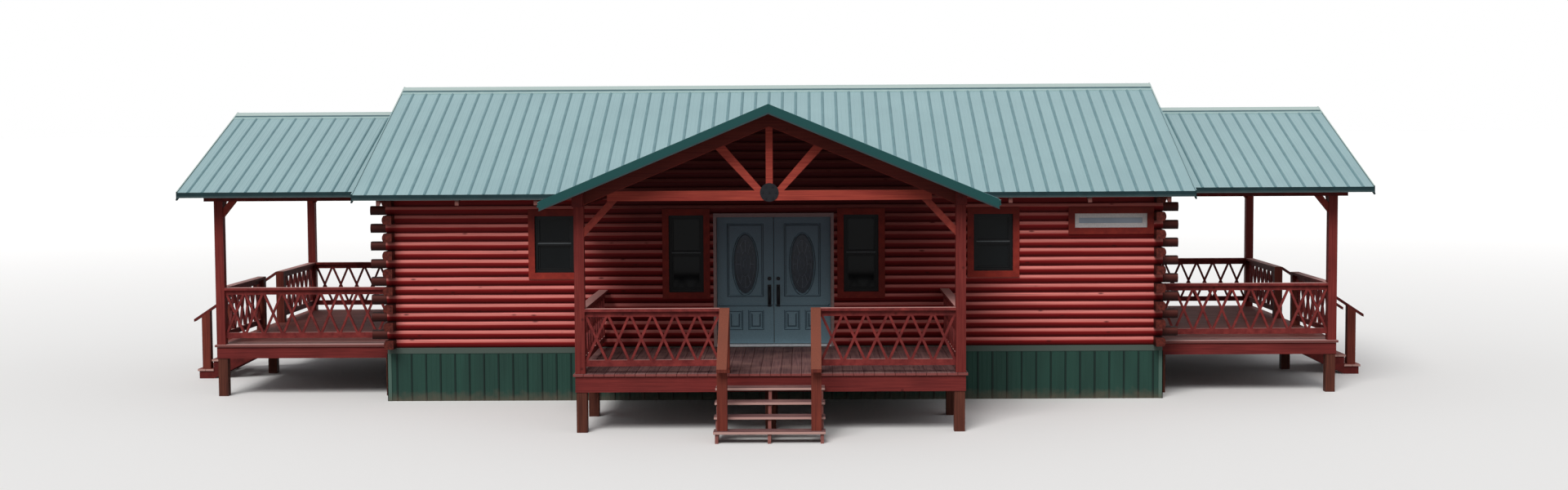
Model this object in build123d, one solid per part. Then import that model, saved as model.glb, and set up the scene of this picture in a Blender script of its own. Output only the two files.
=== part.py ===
"""Log cabin with a front porch, a porch at each end, and a metal roof.

Millimetres. While the cabin is laid out, X runs along the ridge with 0 at the middle of the body,
Y runs back from the outermost line of the front wall's logs, and Z is up from the ground.
At the end everything moves along Y, so that the origin is below the middle of the whole cabin.
"""
from build123d import *
import os
from math import ceil

# Body and log walls
BODY_LENGTH = 12192.0
BODY_DEPTH = 7315.0
WALL_BASE = 842.0
LOG_COURSE = 139.7
LOG_THICKNESS = 150.0
LOG_BELLY = 28.0
LOG_OVERHANG = 230.0
PLATFORM_DEPTH = 230.0

# Skirting
SKIRT_SETBACK = 12.0
SKIRT_SHEET = 20.0
SKIRT_BAND_HEIGHT = 90.0
SKIRT_BAND_PROUD = 8.0
SKIRT_CORNER_GAP = 1.0

# Roofs
EAVE_HEIGHT = 3270.0
ROOF_PITCH_RATIO = 5 / 12
ROOF_THICKNESS = 87.0
EAVE_OVERHANG = 500.0
RAKE_OVERHANG = 390.0
RIDGE_BOARD = 38.0
SIDE_PITCH_RATIO = 0.369
SIDE_ROOF_DROP = 262.0
SIDE_EAVE_OVERHANG = 450.0
SIDE_RAKE_OVERHANG = 438.0
FRONT_SIDE_OVERHANG = 422.0
FRONT_ROOF_OVERHANG = 450.0

# Roof trim
TRIM_SHEET = 20.0
FASCIA_DEPTH = 75.0
RAKE_TRIM_DEPTH = 140.0
RAKE_TRIM_PROUD = 14.0
RIDGE_CAP_WING = 170.0
RIDGE_CAP_SHEET = 14.0
TRIM_GAP = 1.0

# Porch decks
DECK_TOP = 834.0
DECK_BOARD = 38.0
DECK_NOSING = 28.0
FRONT_DECK_WIDTH = 5486.0
FRONT_DECK_REACH = 3280.0
FRONT_RIM_DEPTH = 223.0
SIDE_DECK_LENGTH = 2895.0
SIDE_DECK_DEPTH = 6015.0
SIDE_RIM_DEPTH = 184.0
RIM_BOARD = 40.0
JOIST_SPACING = 610.0
PILE = 150.0
PILE_INSET = 12.0

# Posts, beams and braces
POST = 140.0
BEAM_WIDTH = 150.0
FRONT_BEAM_DROP = 80.0
FRONT_BEAM_HEIGHT = 225.0
SIDE_BEAM_EDGE_HEIGHT = 237.0
BEAM_PROJECTION = 160.0
BRACE_WIDTH = 92.0
BRACE_THICKNESS = 90.0
FRONT_BRACE_RISE = 505.0
FRONT_BRACE_RUN = 470.0
SIDE_BRACE_RISE = 260.0
SIDE_BRACE_RUN = 210.0

# Trusses
TRUSS_THICKNESS = 120.0
TOP_CHORD_DEPTH = 210.0
FRONT_TIE_DROP = 8.0
FRONT_TIE_SETBACK = 403.0
TIE_DEPTH = 138.0
KING_POST_WIDTH = 97.0
STRUT_WIDTH = 92.0
STRUT_FOOT_RATIO = 0.055
STRUT_HEAD_RATIO = 0.264
PLATE_RADIUS = 130.0
PLATE_THICKNESS = 8.0
PLATE_DROP = 26.0

# Rails
RAIL_HEIGHT = 914.0
RAIL_CAP_WIDTH = 140.0
RAIL_CAP_THICKNESS = 38.0
RAIL_BAR_DEPTH = 38.0
TOP_RAIL_HEIGHT = 76.0
BOTTOM_RAIL_HEIGHT = 89.0
BOTTOM_RAIL_CLEARANCE = 100.0
LATTICE_BAR = 34.0
LATTICE_MODULE = 312.0

# Stairs
STAIR_RUN = 250.0
TREAD_COUNT = 4
TREAD_LENGTH = 1523.0
TREAD_DEPTH = 275.0
TREAD_THICKNESS = 38.0
STRINGER_THICKNESS = 45.0
STRINGER_HEEL = 260.0
NEWEL = 140.0
NEWEL_SPACING = 1281.0
LOW_NEWEL_SETBACK = 75.0
HANDRAIL_DEPTH = 45.0
HANDRAIL_WIDTH = 140.0
HANDRAIL_END = 135.0

# Entry doorway
DOOR_FRAME_WIDTH = 1888.0
DOOR_COURSES = 15
JAMB_FACE = 49.0
DOOR_HEAD_FACE = 60.0
THRESHOLD_HEIGHT = 35.0
DOOR_CLEARANCE = 5.0
MEETING_GAP = 9.0
LEAF_THICKNESS = 45.0
OVAL_HALF_WIDTH = 172.0
OVAL_HALF_HEIGHT = 461.0
OVAL_CENTRE_HEIGHT = 1290.0
GLASS_CLEARANCE = 0.2
DOOR_GLASS = 20.0
HANDLE_SETBACK = 65.0
DEADBOLT_HEIGHT = 1063.0
DEADBOLT_RADIUS = 30.0
GRIP_BOTTOM = 620.0
GRIP_TOP = 967.0
GRIP_REACH = 55.0
GRIP_INSET = 40.0
GRIP_WIDTH = 22.0
GRIP_THICKNESS = 16.0
HANDLE_PLATE_WIDTH = 56.0
HANDLE_PLATE = 8.0
HINGE_RADIUS = 8.0
HINGE_HEIGHT = 99.0
HINGE_PIN_RADIUS = 4.0
HINGE_PIN_CLEARANCE = 0.08
HINGE_KNUCKLE_GAP = 0.3
HINGE_PLATE = 3.0
HINGE_PLATE_WIDTH = 30.0
HINGE_END_DISTANCE = 200.0

# End doors, fixed
END_DOOR_WIDTH = 960.0

# Windows
WINDOW_HEAD_DROP = 360.0
INNER_WINDOW_WIDTH = 545.0
INNER_WINDOW_HEIGHT = 1208.0
DOOR_TO_WINDOW = 153.5
OUTER_WINDOW_WIDTH = 612.0
OUTER_WINDOW_HEIGHT = 890.0
OUTER_WINDOW_RATIO = 0.372
TRANSOM_WIDTH = 1132.0
TRANSOM_HEIGHT = 224.0
TRANSOM_CORNER_GAP = 5.0
END_WINDOW_OFFSET = 2000.0
SASH_FACE = 45.0
SASH_DEPTH = 90.0
SASH_SETBACK = 30.0
GLASS_THICKNESS = 20.0
CASING_WIDTH = 100.0
CASING_THICKNESS = 24.0

# Worked out from the sizes above
HALF_LENGTH = BODY_LENGTH / 2
RIDGE_Y = BODY_DEPTH / 2
RIDGE_HEIGHT = EAVE_HEIGHT + (RIDGE_Y + EAVE_OVERHANG) * ROOF_PITCH_RATIO
FRONT_POST_X = FRONT_DECK_WIDTH / 2 - POST / 2
FRONT_POST_Y = -FRONT_DECK_REACH + POST / 2
FRONT_ROOF_HALF_SPAN = FRONT_DECK_WIDTH / 2 + FRONT_SIDE_OVERHANG
FRONT_ROOF_END = FRONT_DECK_REACH + FRONT_ROOF_OVERHANG
FRONT_APEX_HEIGHT = EAVE_HEIGHT + FRONT_ROOF_HALF_SPAN * ROOF_PITCH_RATIO
FRONT_BEAM_BOTTOM = EAVE_HEIGHT - FRONT_BEAM_DROP
FRONT_TIE_BOTTOM = EAVE_HEIGHT - FRONT_TIE_DROP
SIDE_DECK_END = HALF_LENGTH - SKIRT_SETBACK + SIDE_DECK_LENGTH
SIDE_DECK_FRONT = (BODY_DEPTH - SIDE_DECK_DEPTH) / 2
SIDE_POST_X = SIDE_DECK_END - POST / 2
SIDE_POST_Y = SIDE_DECK_FRONT + POST / 2
SIDE_ROOF_END = SIDE_DECK_END + SIDE_RAKE_OVERHANG
SIDE_ROOF_EDGE_Y = SIDE_DECK_FRONT - SIDE_EAVE_OVERHANG
SIDE_ROOF_EAVE_HEIGHT = (EAVE_HEIGHT + (SIDE_ROOF_EDGE_Y + EAVE_OVERHANG) * ROOF_PITCH_RATIO
                         - SIDE_ROOF_DROP)
SIDE_ROOF_RIDGE_HEIGHT = SIDE_ROOF_EAVE_HEIGHT + (RIDGE_Y - SIDE_ROOF_EDGE_Y) * SIDE_PITCH_RATIO
SIDE_BEAM_BOTTOM = (SIDE_ROOF_EAVE_HEIGHT - ROOF_THICKNESS - SIDE_BEAM_EDGE_HEIGHT
                    + (SIDE_POST_Y - BEAM_WIDTH / 2 - SIDE_ROOF_EDGE_Y) * SIDE_PITCH_RATIO)
BAND_FACE = SKIRT_SETBACK - SKIRT_BAND_PROUD
STAIR_RISE = DECK_TOP / (TREAD_COUNT + 1)
DOOR_FRAME_HEIGHT = DOOR_COURSES * LOG_COURSE
LEAF_WIDTH = (DOOR_FRAME_WIDTH - 2 * JAMB_FACE - 2 * DOOR_CLEARANCE - MEETING_GAP) / 2
LEAF_BOTTOM = WALL_BASE + THRESHOLD_HEIGHT + DOOR_CLEARANCE
LEAF_HEIGHT = DOOR_FRAME_HEIGHT - DOOR_HEAD_FACE - THRESHOLD_HEIGHT - 2 * DOOR_CLEARANCE
HINGE_X = MEETING_GAP / 2 + LEAF_WIDTH + DOOR_CLEARANCE / 2
HINGE_Y = LOG_THICKNESS + HINGE_RADIUS
VALLEY_BACK_Y = FRONT_ROOF_HALF_SPAN - EAVE_OVERHANG
FRONT_COURSES = ceil((EAVE_HEIGHT - WALL_BASE) / LOG_COURSE)
GABLE_FOOT = WALL_BASE + FRONT_COURSES * LOG_COURSE
GABLE_HALF = VALLEY_BACK_Y - LOG_THICKNESS
WINDOW_HEAD = EAVE_HEIGHT - WINDOW_HEAD_DROP
INNER_WINDOW_X = DOOR_FRAME_WIDTH / 2 + DOOR_TO_WINDOW + INNER_WINDOW_WIDTH / 2
TRANSOM_X = HALF_LENGTH - LOG_THICKNESS - TRANSOM_CORNER_GAP - CASING_WIDTH - TRANSOM_WIDTH / 2
TRANSOM_TRIM_X = TRANSOM_X - TRANSOM_WIDTH / 2 - CASING_WIDTH
OUTER_WINDOW_X = (FRONT_DECK_WIDTH / 2
                  + (TRANSOM_TRIM_X - FRONT_DECK_WIDTH / 2) * OUTER_WINDOW_RATIO)
HANDRAIL_TOP = DECK_TOP + RAIL_HEIGHT
STAIR_SLOPE = STAIR_RISE / STAIR_RUN
FAR = 2 * BODY_LENGTH


def block(x, y, z):
    """Box from three (low, high) pairs."""
    size = (x[1] - x[0], y[1] - y[0], z[1] - z[0])
    return Pos(x[0], y[0], z[0]) * Box(*size, align=(Align.MIN, Align.MIN, Align.MIN))


def prism_x(points, x):
    """Polygon of (y, z) points, swept along X between two values."""
    face = Face(Wire.make_polygon([(x[0], p[0], p[1]) for p in points], close=True))
    return extrude(face, x[1] - x[0], dir=(1, 0, 0))


def prism_y(points, y):
    """Polygon of (x, z) points, swept along Y between two values."""
    face = Face(Wire.make_polygon([(p[0], y[0], p[1]) for p in points], close=True))
    return extrude(face, y[1] - y[0], dir=(0, 1, 0))


def prism_z(points, z):
    """Polygon of (x, y) points, swept along Z between two values."""
    face = Face(Wire.make_polygon([(p[0], p[1], z[0]) for p in points], close=True))
    return extrude(face, z[1] - z[0], dir=(0, 0, 1))


def mirror_x(shape):
    return mirror(shape, about=Plane.YZ)


def mirror_depth(shape):
    """Mirror front to back about the ridge."""
    return mirror(shape, about=Plane.XZ.offset(-RIDGE_Y))


def both_ends(shape):
    return [shape, mirror_x(shape)]


def main_roof_top(y):
    """Height of the front slope's upper surface."""
    return EAVE_HEIGHT + (y + EAVE_OVERHANG) * ROOF_PITCH_RATIO


def front_roof_top(x):
    return EAVE_HEIGHT + (FRONT_ROOF_HALF_SPAN - abs(x)) * ROOF_PITCH_RATIO


def side_roof_top(y):
    return SIDE_ROOF_EAVE_HEIGHT + (y - SIDE_ROOF_EDGE_Y) * SIDE_PITCH_RATIO


def under_main_roof(x):
    """The space below both main slopes, between two X values."""
    low = EAVE_HEIGHT - ROOF_THICKNESS
    half = RIDGE_BOARD / 2
    high = main_roof_top(RIDGE_Y - half) - ROOF_THICKNESS
    points = [(-EAVE_OVERHANG, 0), (-EAVE_OVERHANG, low), (RIDGE_Y - half, high), (RIDGE_Y + half, high),
              (BODY_DEPTH + EAVE_OVERHANG, low), (BODY_DEPTH + EAVE_OVERHANG, 0)]
    return prism_x(points, x)


def under_front_roof(y):
    """The space below both front porch slopes, between two Y values."""
    low = EAVE_HEIGHT - ROOF_THICKNESS
    half = RIDGE_BOARD / 2
    high = front_roof_top(half) - ROOF_THICKNESS
    points = [(-FRONT_ROOF_HALF_SPAN, 0), (-FRONT_ROOF_HALF_SPAN, low), (-half, high), (half, high),
              (FRONT_ROOF_HALF_SPAN, low), (FRONT_ROOF_HALF_SPAN, 0)]
    return prism_y(points, y)


def log_profile(z):
    """D-shaped log section, (depth, height) from the wall's outermost line: round outside, flat inside."""
    top = z + LOG_COURSE
    arc = Edge.make_three_point_arc((0, LOG_BELLY, z), (0, 0, z + LOG_COURSE / 2), (0, LOG_BELLY, top))
    sides = [Edge.make_line((0, LOG_BELLY, top), (0, LOG_THICKNESS, top)),
             Edge.make_line((0, LOG_THICKNESS, top), (0, LOG_THICKNESS, z)),
             Edge.make_line((0, LOG_THICKNESS, z), (0, LOG_BELLY, z))]
    return Face(Wire([arc] + sides))


def log_stack(spans, first):
    """Courses laid on each other from one index up, each between its own two X values."""
    logs = []
    for number, span in enumerate(spans):
        section = Pos(span[0], 0, 0) * log_profile(WALL_BASE + (first + number) * LOG_COURSE)
        logs.append(extrude(section, span[1] - span[0], dir=(1, 0, 0)))
    return Part() + logs


def passes(course, wall):
    """Alternate courses run through the corner: odd ones in the long walls, even ones in the ends."""
    return course % 2 == (1 if wall == "long" else 0)


def long_wall_end(course):
    return HALF_LENGTH + LOG_OVERHANG if passes(course, "long") else HALF_LENGTH - LOG_THICKNESS


def window_hole(window):
    """Cutter for a window in a long wall: (centre x, sill z, width, height)."""
    x, sill, width, height = window
    return block((x - width / 2, x + width / 2), (-LOG_THICKNESS, 2 * LOG_THICKNESS), (sill, sill + height))


def transom():
    """The low wide window by the right corner: (centre x, sill z, width, height)."""
    return (TRANSOM_X, WINDOW_HEAD - TRANSOM_HEIGHT, TRANSOM_WIDTH, TRANSOM_HEIGHT)


def tall_windows():
    """The two pairs of windows beside the door."""
    inner = (INNER_WINDOW_X, WINDOW_HEAD - INNER_WINDOW_HEIGHT, INNER_WINDOW_WIDTH, INNER_WINDOW_HEIGHT)
    outer = (OUTER_WINDOW_X, WINDOW_HEAD - OUTER_WINDOW_HEIGHT, OUTER_WINDOW_WIDTH, OUTER_WINDOW_HEIGHT)
    return [(side * x, sill, width, height) for side in (-1, 1) for x, sill, width, height in (inner, outer)]


def end_wall_windows():
    """Windows of an end wall, laid out along X before they are turned to the end."""
    sill = WINDOW_HEAD - INNER_WINDOW_HEIGHT
    return [(side * END_WINDOW_OFFSET, sill, INNER_WINDOW_WIDTH, INNER_WINDOW_HEIGHT) for side in (-1, 1)]


def to_left_end(shape):
    """Turn a piece laid out along a long wall to the left end, its middle on the ridge line."""
    return Pos(-HALF_LENGTH, RIDGE_Y, 0) * Rot(0, 0, -90) * shape


def end_porch_room():
    """Space beside the right end wall for the porch roof and its beams, kept free of projecting logs."""
    front = SIDE_ROOF_EDGE_Y - TRIM_SHEET - TRIM_GAP
    return block((HALF_LENGTH, HALF_LENGTH + LOG_OVERHANG), (front, BODY_DEPTH - front),
                 (SIDE_BEAM_BOTTOM, FAR))


def front_wall_side(side):
    """Half of the front wall, from the doorway to the corner."""
    spans = [(DOOR_FRAME_WIDTH / 2, long_wall_end(course)) for course in range(FRONT_COURSES + 1)]
    wall = log_stack(spans, 0)
    wall -= block((0, GABLE_HALF), (-FAR, FAR), (GABLE_FOOT, FAR))
    wall &= under_main_roof((0, FAR)) + under_front_roof((-LOG_THICKNESS, LOG_THICKNESS))
    wall -= end_porch_room()
    if side < 0:
        wall = mirror_x(wall)
    for window in tall_windows() + [transom()]:
        if window[0] * side > 0:
            wall -= window_hole(window)
    return wall


def front_wall_over_door():
    """Logs above the double door, up to the foot of the porch gable."""
    half = DOOR_FRAME_WIDTH / 2
    return log_stack([(-half, half)] * (FRONT_COURSES - DOOR_COURSES), DOOR_COURSES)


def front_gable_wall():
    """Log infill between the front wall and the porch roof."""
    courses = ceil((FRONT_APEX_HEIGHT - GABLE_FOOT) / LOG_COURSE)
    wall = log_stack([(-GABLE_HALF, GABLE_HALF)] * courses, FRONT_COURSES)
    return wall & under_front_roof((-LOG_THICKNESS, LOG_THICKNESS))


def end_door_hole():
    half = END_DOOR_WIDTH / 2
    return block((-half, half), (-LOG_THICKNESS, 2 * LOG_THICKNESS), (0, WALL_BASE + DOOR_FRAME_HEIGHT))


def end_wall_half(course):
    """Half length of one course of an end wall: through the corner, up to the long wall, or in the gable."""
    if course > FRONT_COURSES or course == FRONT_COURSES and passes(course, "end"):
        return RIDGE_Y
    return RIDGE_Y + LOG_OVERHANG if passes(course, "end") else RIDGE_Y - LOG_THICKNESS


def left_end_wall():
    """End wall up into its gable, with a doorway onto the end porch and two windows."""
    halves = [end_wall_half(course) for course in range(ceil((RIDGE_HEIGHT - WALL_BASE) / LOG_COURSE))]
    wall = log_stack([(-half, half) for half in halves], 0) - end_door_hole()
    for window in end_wall_windows():
        wall -= window_hole(window)
    return to_left_end(wall) & under_main_roof((-FAR, FAR))


def back_wall():
    ends = [long_wall_end(course) for course in range(FRONT_COURSES + 1)]
    wall = log_stack([(-end, end) for end in ends], 0)
    for window in tall_windows():
        wall -= window_hole(window)
    wall = mirror_depth(wall) & under_main_roof((-FAR, FAR))
    for room in both_ends(end_porch_room()):
        wall -= room
    return wall


def floor():
    inset = SKIRT_SETBACK + SKIRT_SHEET
    return block((inset - HALF_LENGTH, HALF_LENGTH - inset), (inset, BODY_DEPTH - inset),
                 (WALL_BASE - PLATFORM_DEPTH, WALL_BASE))


def skirt_panel(half):
    """Sheet from the ground to the logs, with the band along its top standing proud."""
    sheet = block((-half, half), (SKIRT_SETBACK, SKIRT_SETBACK + SKIRT_SHEET), (0, WALL_BASE))
    band = block((-half, half), (BAND_FACE, SKIRT_SETBACK), (WALL_BASE - SKIRT_BAND_HEIGHT, WALL_BASE))
    return sheet + band


def skirting():
    long_panel = skirt_panel(HALF_LENGTH - SKIRT_SETBACK)
    end_half = RIDGE_Y - SKIRT_SETBACK - SKIRT_SHEET - SKIRT_CORNER_GAP
    end_panel = to_left_end(skirt_panel(end_half))
    return [long_panel, mirror_depth(long_panel)] + both_ends(end_panel)


def main_slope(x):
    """Front slope of the main roof between two X values."""
    ridge = RIDGE_Y - RIDGE_BOARD / 2
    low, high = main_roof_top(-EAVE_OVERHANG), main_roof_top(ridge)
    return prism_x([(-EAVE_OVERHANG, low), (ridge, high), (ridge, high - ROOF_THICKNESS),
                    (-EAVE_OVERHANG, low - ROOF_THICKNESS)], x)


def porch_bay():
    """Plan of the opening in the main eave, where the front porch roof takes over."""
    outer = FRONT_ROOF_HALF_SPAN
    return prism_z([(-outer, -EAVE_OVERHANG), (outer, -EAVE_OVERHANG), (GABLE_HALF, LOG_THICKNESS),
                    (-GABLE_HALF, LOG_THICKNESS)], (0, FAR))


def main_roof_front():
    reach = HALF_LENGTH + RAKE_OVERHANG
    return main_slope((-reach, reach)) - porch_bay()


def main_roof_back():
    reach = HALF_LENGTH + RAKE_OVERHANG
    return mirror_depth(main_slope((-reach, reach)))


def front_roof_slope():
    """Right slope of the front porch roof, cut along the valley and laid over the main slope."""
    ridge = RIDGE_BOARD / 2
    high, low = front_roof_top(ridge), EAVE_HEIGHT
    slope = prism_y([(ridge, high), (FRONT_ROOF_HALF_SPAN, low), (FRONT_ROOF_HALF_SPAN, low - ROOF_THICKNESS),
                     (ridge, high - ROOF_THICKNESS)], (-FRONT_ROOF_END, VALLEY_BACK_Y))
    beyond_valley = prism_z([(FRONT_ROOF_HALF_SPAN, -EAVE_OVERHANG), (0, VALLEY_BACK_Y),
                             (FAR, VALLEY_BACK_Y), (FAR, -EAVE_OVERHANG)], (0, FAR))
    return slope - beyond_valley - below_main_slope()


def below_main_slope():
    """Everything under the main slope's upper surface, from the back of the front wall."""
    return prism_x([(LOG_THICKNESS, 0), (LOG_THICKNESS, main_roof_top(LOG_THICKNESS)),
                    (RIDGE_Y, RIDGE_HEIGHT), (RIDGE_Y, 0)], (-FAR, FAR))


def side_roof_slope():
    """Front slope of the right porch roof."""
    ridge = RIDGE_Y - RIDGE_BOARD / 2
    low, high = SIDE_ROOF_EAVE_HEIGHT, side_roof_top(ridge)
    return prism_x([(SIDE_ROOF_EDGE_Y, low), (ridge, high), (ridge, high - ROOF_THICKNESS),
                    (SIDE_ROOF_EDGE_Y, low - ROOF_THICKNESS)], (HALF_LENGTH, SIDE_ROOF_END))


def ridge_boards():
    """Boards that stand between the two slopes of each roof."""
    half = RIDGE_BOARD / 2
    reach = HALF_LENGTH + RAKE_OVERHANG
    main_top = main_roof_top(RIDGE_Y - half)
    main = block((-reach, reach), (RIDGE_Y - half, RIDGE_Y + half), (main_top - ROOF_THICKNESS, main_top))
    side_top = side_roof_top(RIDGE_Y - half)
    side = block((HALF_LENGTH, SIDE_ROOF_END), (RIDGE_Y - half, RIDGE_Y + half),
                 (side_top - ROOF_THICKNESS, side_top))
    front_top = front_roof_top(half)
    front = block((-half, half), (-FRONT_ROOF_END, VALLEY_BACK_Y), (front_top - ROOF_THICKNESS, front_top))
    return [main, front - below_main_slope()] + both_ends(side)


def cap_profile(centre, top, pitch):
    """Bent ridge cap: (across, height) points of a folded sheet lying on both slopes."""
    wing, sheet, half = RIDGE_CAP_WING, RIDGE_CAP_SHEET, RIDGE_BOARD / 2
    return [(centre - wing, top - (wing - half) * pitch), (centre - half, top), (centre + half, top),
            (centre + wing, top - (wing - half) * pitch),
            (centre + wing, top - (wing - half) * pitch + sheet), (centre + half, top + sheet),
            (centre - half, top + sheet), (centre - wing, top - (wing - half) * pitch + sheet)]


def rake_profile(eave, ridge, eave_top, ridge_top):
    """Sloping trim board against the end of a slope, plumb at both ends."""
    up, down = RAKE_TRIM_PROUD, RAKE_TRIM_PROUD - RAKE_TRIM_DEPTH
    return [(eave, eave_top + up), (ridge, ridge_top + up), (ridge, ridge_top + down),
            (eave, eave_top + down)]


def main_roof_trim():
    """Fascias, rake boards and the cap of the main ridge."""
    reach = HALF_LENGTH + RAKE_OVERHANG
    face = -EAVE_OVERHANG
    fascia_z = (EAVE_HEIGHT - FASCIA_DEPTH, EAVE_HEIGHT)
    front = block((FRONT_ROOF_HALF_SPAN + TRIM_SHEET + TRIM_GAP, reach), (face - TRIM_SHEET, face), fascia_z)
    back = mirror_depth(block((-reach, reach), (face - TRIM_SHEET, face), fascia_z))
    crown = RIDGE_Y - TRIM_GAP / 2
    rake = prism_x(rake_profile(face, crown, EAVE_HEIGHT, main_roof_top(crown)), (reach, reach + TRIM_SHEET))
    cap_top = main_roof_top(RIDGE_Y - RIDGE_BOARD / 2)
    cap = prism_x(cap_profile(RIDGE_Y, cap_top, ROOF_PITCH_RATIO), (-reach + TRIM_GAP, reach - TRIM_GAP))
    return both_ends(front) + [back, cap] + both_ends(rake) + both_ends(mirror_depth(rake))


def front_roof_trim():
    """Fascias, gable boards and ridge cap of the front porch roof."""
    half = FRONT_ROOF_HALF_SPAN
    face = -FRONT_ROOF_END
    fascia = block((half, half + TRIM_SHEET), (face, -EAVE_OVERHANG - TRIM_SHEET - TRIM_GAP),
                   (EAVE_HEIGHT - FASCIA_DEPTH, EAVE_HEIGHT))
    crown = TRIM_GAP / 2
    rake = prism_y(rake_profile(half, crown, EAVE_HEIGHT, front_roof_top(crown)), (face - TRIM_SHEET, face))
    cap = prism_y(cap_profile(0, front_roof_top(RIDGE_BOARD / 2), ROOF_PITCH_RATIO),
                  (face + TRIM_GAP, VALLEY_BACK_Y)) - below_main_slope()
    return both_ends(fascia) + both_ends(rake) + [cap]


def side_roof_trim():
    """Fascias, gable boards and ridge cap of the right porch roof."""
    face = SIDE_ROOF_EDGE_Y
    fascia = block((HALF_LENGTH, SIDE_ROOF_END), (face - TRIM_SHEET, face),
                   (SIDE_ROOF_EAVE_HEIGHT - FASCIA_DEPTH, SIDE_ROOF_EAVE_HEIGHT))
    crown = RIDGE_Y - TRIM_GAP / 2
    rake = prism_x(rake_profile(face, crown, SIDE_ROOF_EAVE_HEIGHT, side_roof_top(crown)),
                   (SIDE_ROOF_END, SIDE_ROOF_END + TRIM_SHEET))
    cap = prism_x(cap_profile(RIDGE_Y, side_roof_top(RIDGE_Y - RIDGE_BOARD / 2), SIDE_PITCH_RATIO),
                  (HALF_LENGTH, SIDE_ROOF_END - TRIM_GAP))
    return [fascia, mirror_depth(fascia), rake, mirror_depth(rake), cap]


def deck_boards(x, y, nosing):
    """Deck surface with its boards past the rim; nosing is (x low, x high, y low, y high)."""
    return block((x[0] - nosing[0], x[1] + nosing[1]), (y[0] - nosing[2], y[1] + nosing[3]),
                 (DECK_TOP - DECK_BOARD, DECK_TOP))


def deck_frame(x, y, depth):
    """Rim boards on four sides, with joists along Y between the two that lie along X."""
    z = (DECK_TOP - DECK_BOARD - depth, DECK_TOP - DECK_BOARD)
    frame = [block(x, (y[0], y[0] + RIM_BOARD), z), block(x, (y[1] - RIM_BOARD, y[1]), z)]
    bays = 2 * ceil((x[1] - x[0]) / (2 * JOIST_SPACING))
    step = (x[1] - x[0] - RIM_BOARD) / bays
    for number in range(bays + 1):
        left = x[0] + number * step
        frame.append(block((left, left + RIM_BOARD), (y[0] + RIM_BOARD, y[1] - RIM_BOARD), z))
    return Part() + frame


def front_deck_plan():
    half = FRONT_DECK_WIDTH / 2
    return (-half, half), (-FRONT_DECK_REACH, BAND_FACE)


def side_deck_plan():
    return (HALF_LENGTH - BAND_FACE, SIDE_DECK_END), (SIDE_DECK_FRONT, SIDE_DECK_FRONT + SIDE_DECK_DEPTH)


def deck_frames():
    """Joists run across the boards: along X under the front deck, along Y under the end ones."""
    x, y = side_deck_plan()
    side = deck_frame(x, y, SIDE_RIM_DEPTH)
    x, y = front_deck_plan()
    front = Rot(0, 0, 90) * deck_frame(y, (-x[1], -x[0]), FRONT_RIM_DEPTH)
    return [front] + both_ends(side)


def pile(x, y, top):
    return block((x - PILE / 2, x + PILE / 2), (y - PILE / 2, y + PILE / 2), (0, top))


def deck_piles():
    """Square timber piles from the ground to the deck frames."""
    piles = []
    inset = PILE_INSET + PILE / 2
    x, y = front_deck_plan()
    top = DECK_TOP - DECK_BOARD - FRONT_RIM_DEPTH
    rows = (y[0] + inset, y[0] / 2)
    piles += [pile(column, row, top) for column in (x[0] + inset, 0, x[1] - inset) for row in rows]
    x, y = side_deck_plan()
    top = DECK_TOP - DECK_BOARD - SIDE_RIM_DEPTH
    for column in (x[0] + inset, x[1] - inset):
        for row in (y[0] + inset, RIDGE_Y, y[1] - inset):
            piles += both_ends(pile(column, row, top))
    return piles


def post(x, y, top):
    return block((x - POST / 2, x + POST / 2), (y - POST / 2, y + POST / 2), (DECK_TOP, top))


def porch_posts():
    """Roof posts at the porch corners."""
    posts = both_ends(post(FRONT_POST_X, FRONT_POST_Y, FRONT_BEAM_BOTTOM))
    side = post(SIDE_POST_X, SIDE_POST_Y, SIDE_BEAM_BOTTOM)
    return posts + both_ends(side) + both_ends(mirror_depth(side))


def front_beam():
    """Right plate beam of the front porch, its top cut to the roof, its end past the post."""
    x = (FRONT_POST_X - BEAM_WIDTH / 2, FRONT_POST_X + BEAM_WIDTH / 2)
    level = FRONT_BEAM_BOTTOM + FRONT_BEAM_HEIGHT
    top = [(edge, min(front_roof_top(edge) - ROOF_THICKNESS, level)) for edge in x]
    return prism_y([(x[0], FRONT_BEAM_BOTTOM), (x[1], FRONT_BEAM_BOTTOM), top[1], top[0]],
                   (-FRONT_DECK_REACH - BEAM_PROJECTION, 0))


def side_beam():
    """Front plate beam of the right porch, its top cut to the roof, its end past the post."""
    y = (SIDE_POST_Y - BEAM_WIDTH / 2, SIDE_POST_Y + BEAM_WIDTH / 2)
    top = [(edge, side_roof_top(edge) - ROOF_THICKNESS) for edge in y]
    return prism_x([(y[0], SIDE_BEAM_BOTTOM), (y[1], SIDE_BEAM_BOTTOM), top[1], top[0]],
                   (HALF_LENGTH, SIDE_DECK_END + BEAM_PROJECTION))


def porch_beams():
    side = side_beam()
    return both_ends(front_beam()) + both_ends(side) + both_ends(mirror_depth(side))


def brace_points(run, rise):
    """Knee brace in its own plane: (0, 0) is where the post's face meets the beam's underside."""
    width = BRACE_WIDTH * (run ** 2 + rise ** 2) ** 0.5
    return [(0, -rise), (0, -rise + width / run), (run - width / rise, 0), (run, 0)]


def front_brace():
    """Knee brace from the right front post in to the tie beam."""
    corner = FRONT_POST_X - POST / 2
    points = [(corner - u, FRONT_TIE_BOTTOM + v) for u, v in brace_points(FRONT_BRACE_RUN, FRONT_BRACE_RISE)]
    return prism_y(points, (FRONT_POST_Y - BRACE_THICKNESS / 2, FRONT_POST_Y + BRACE_THICKNESS / 2))


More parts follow.
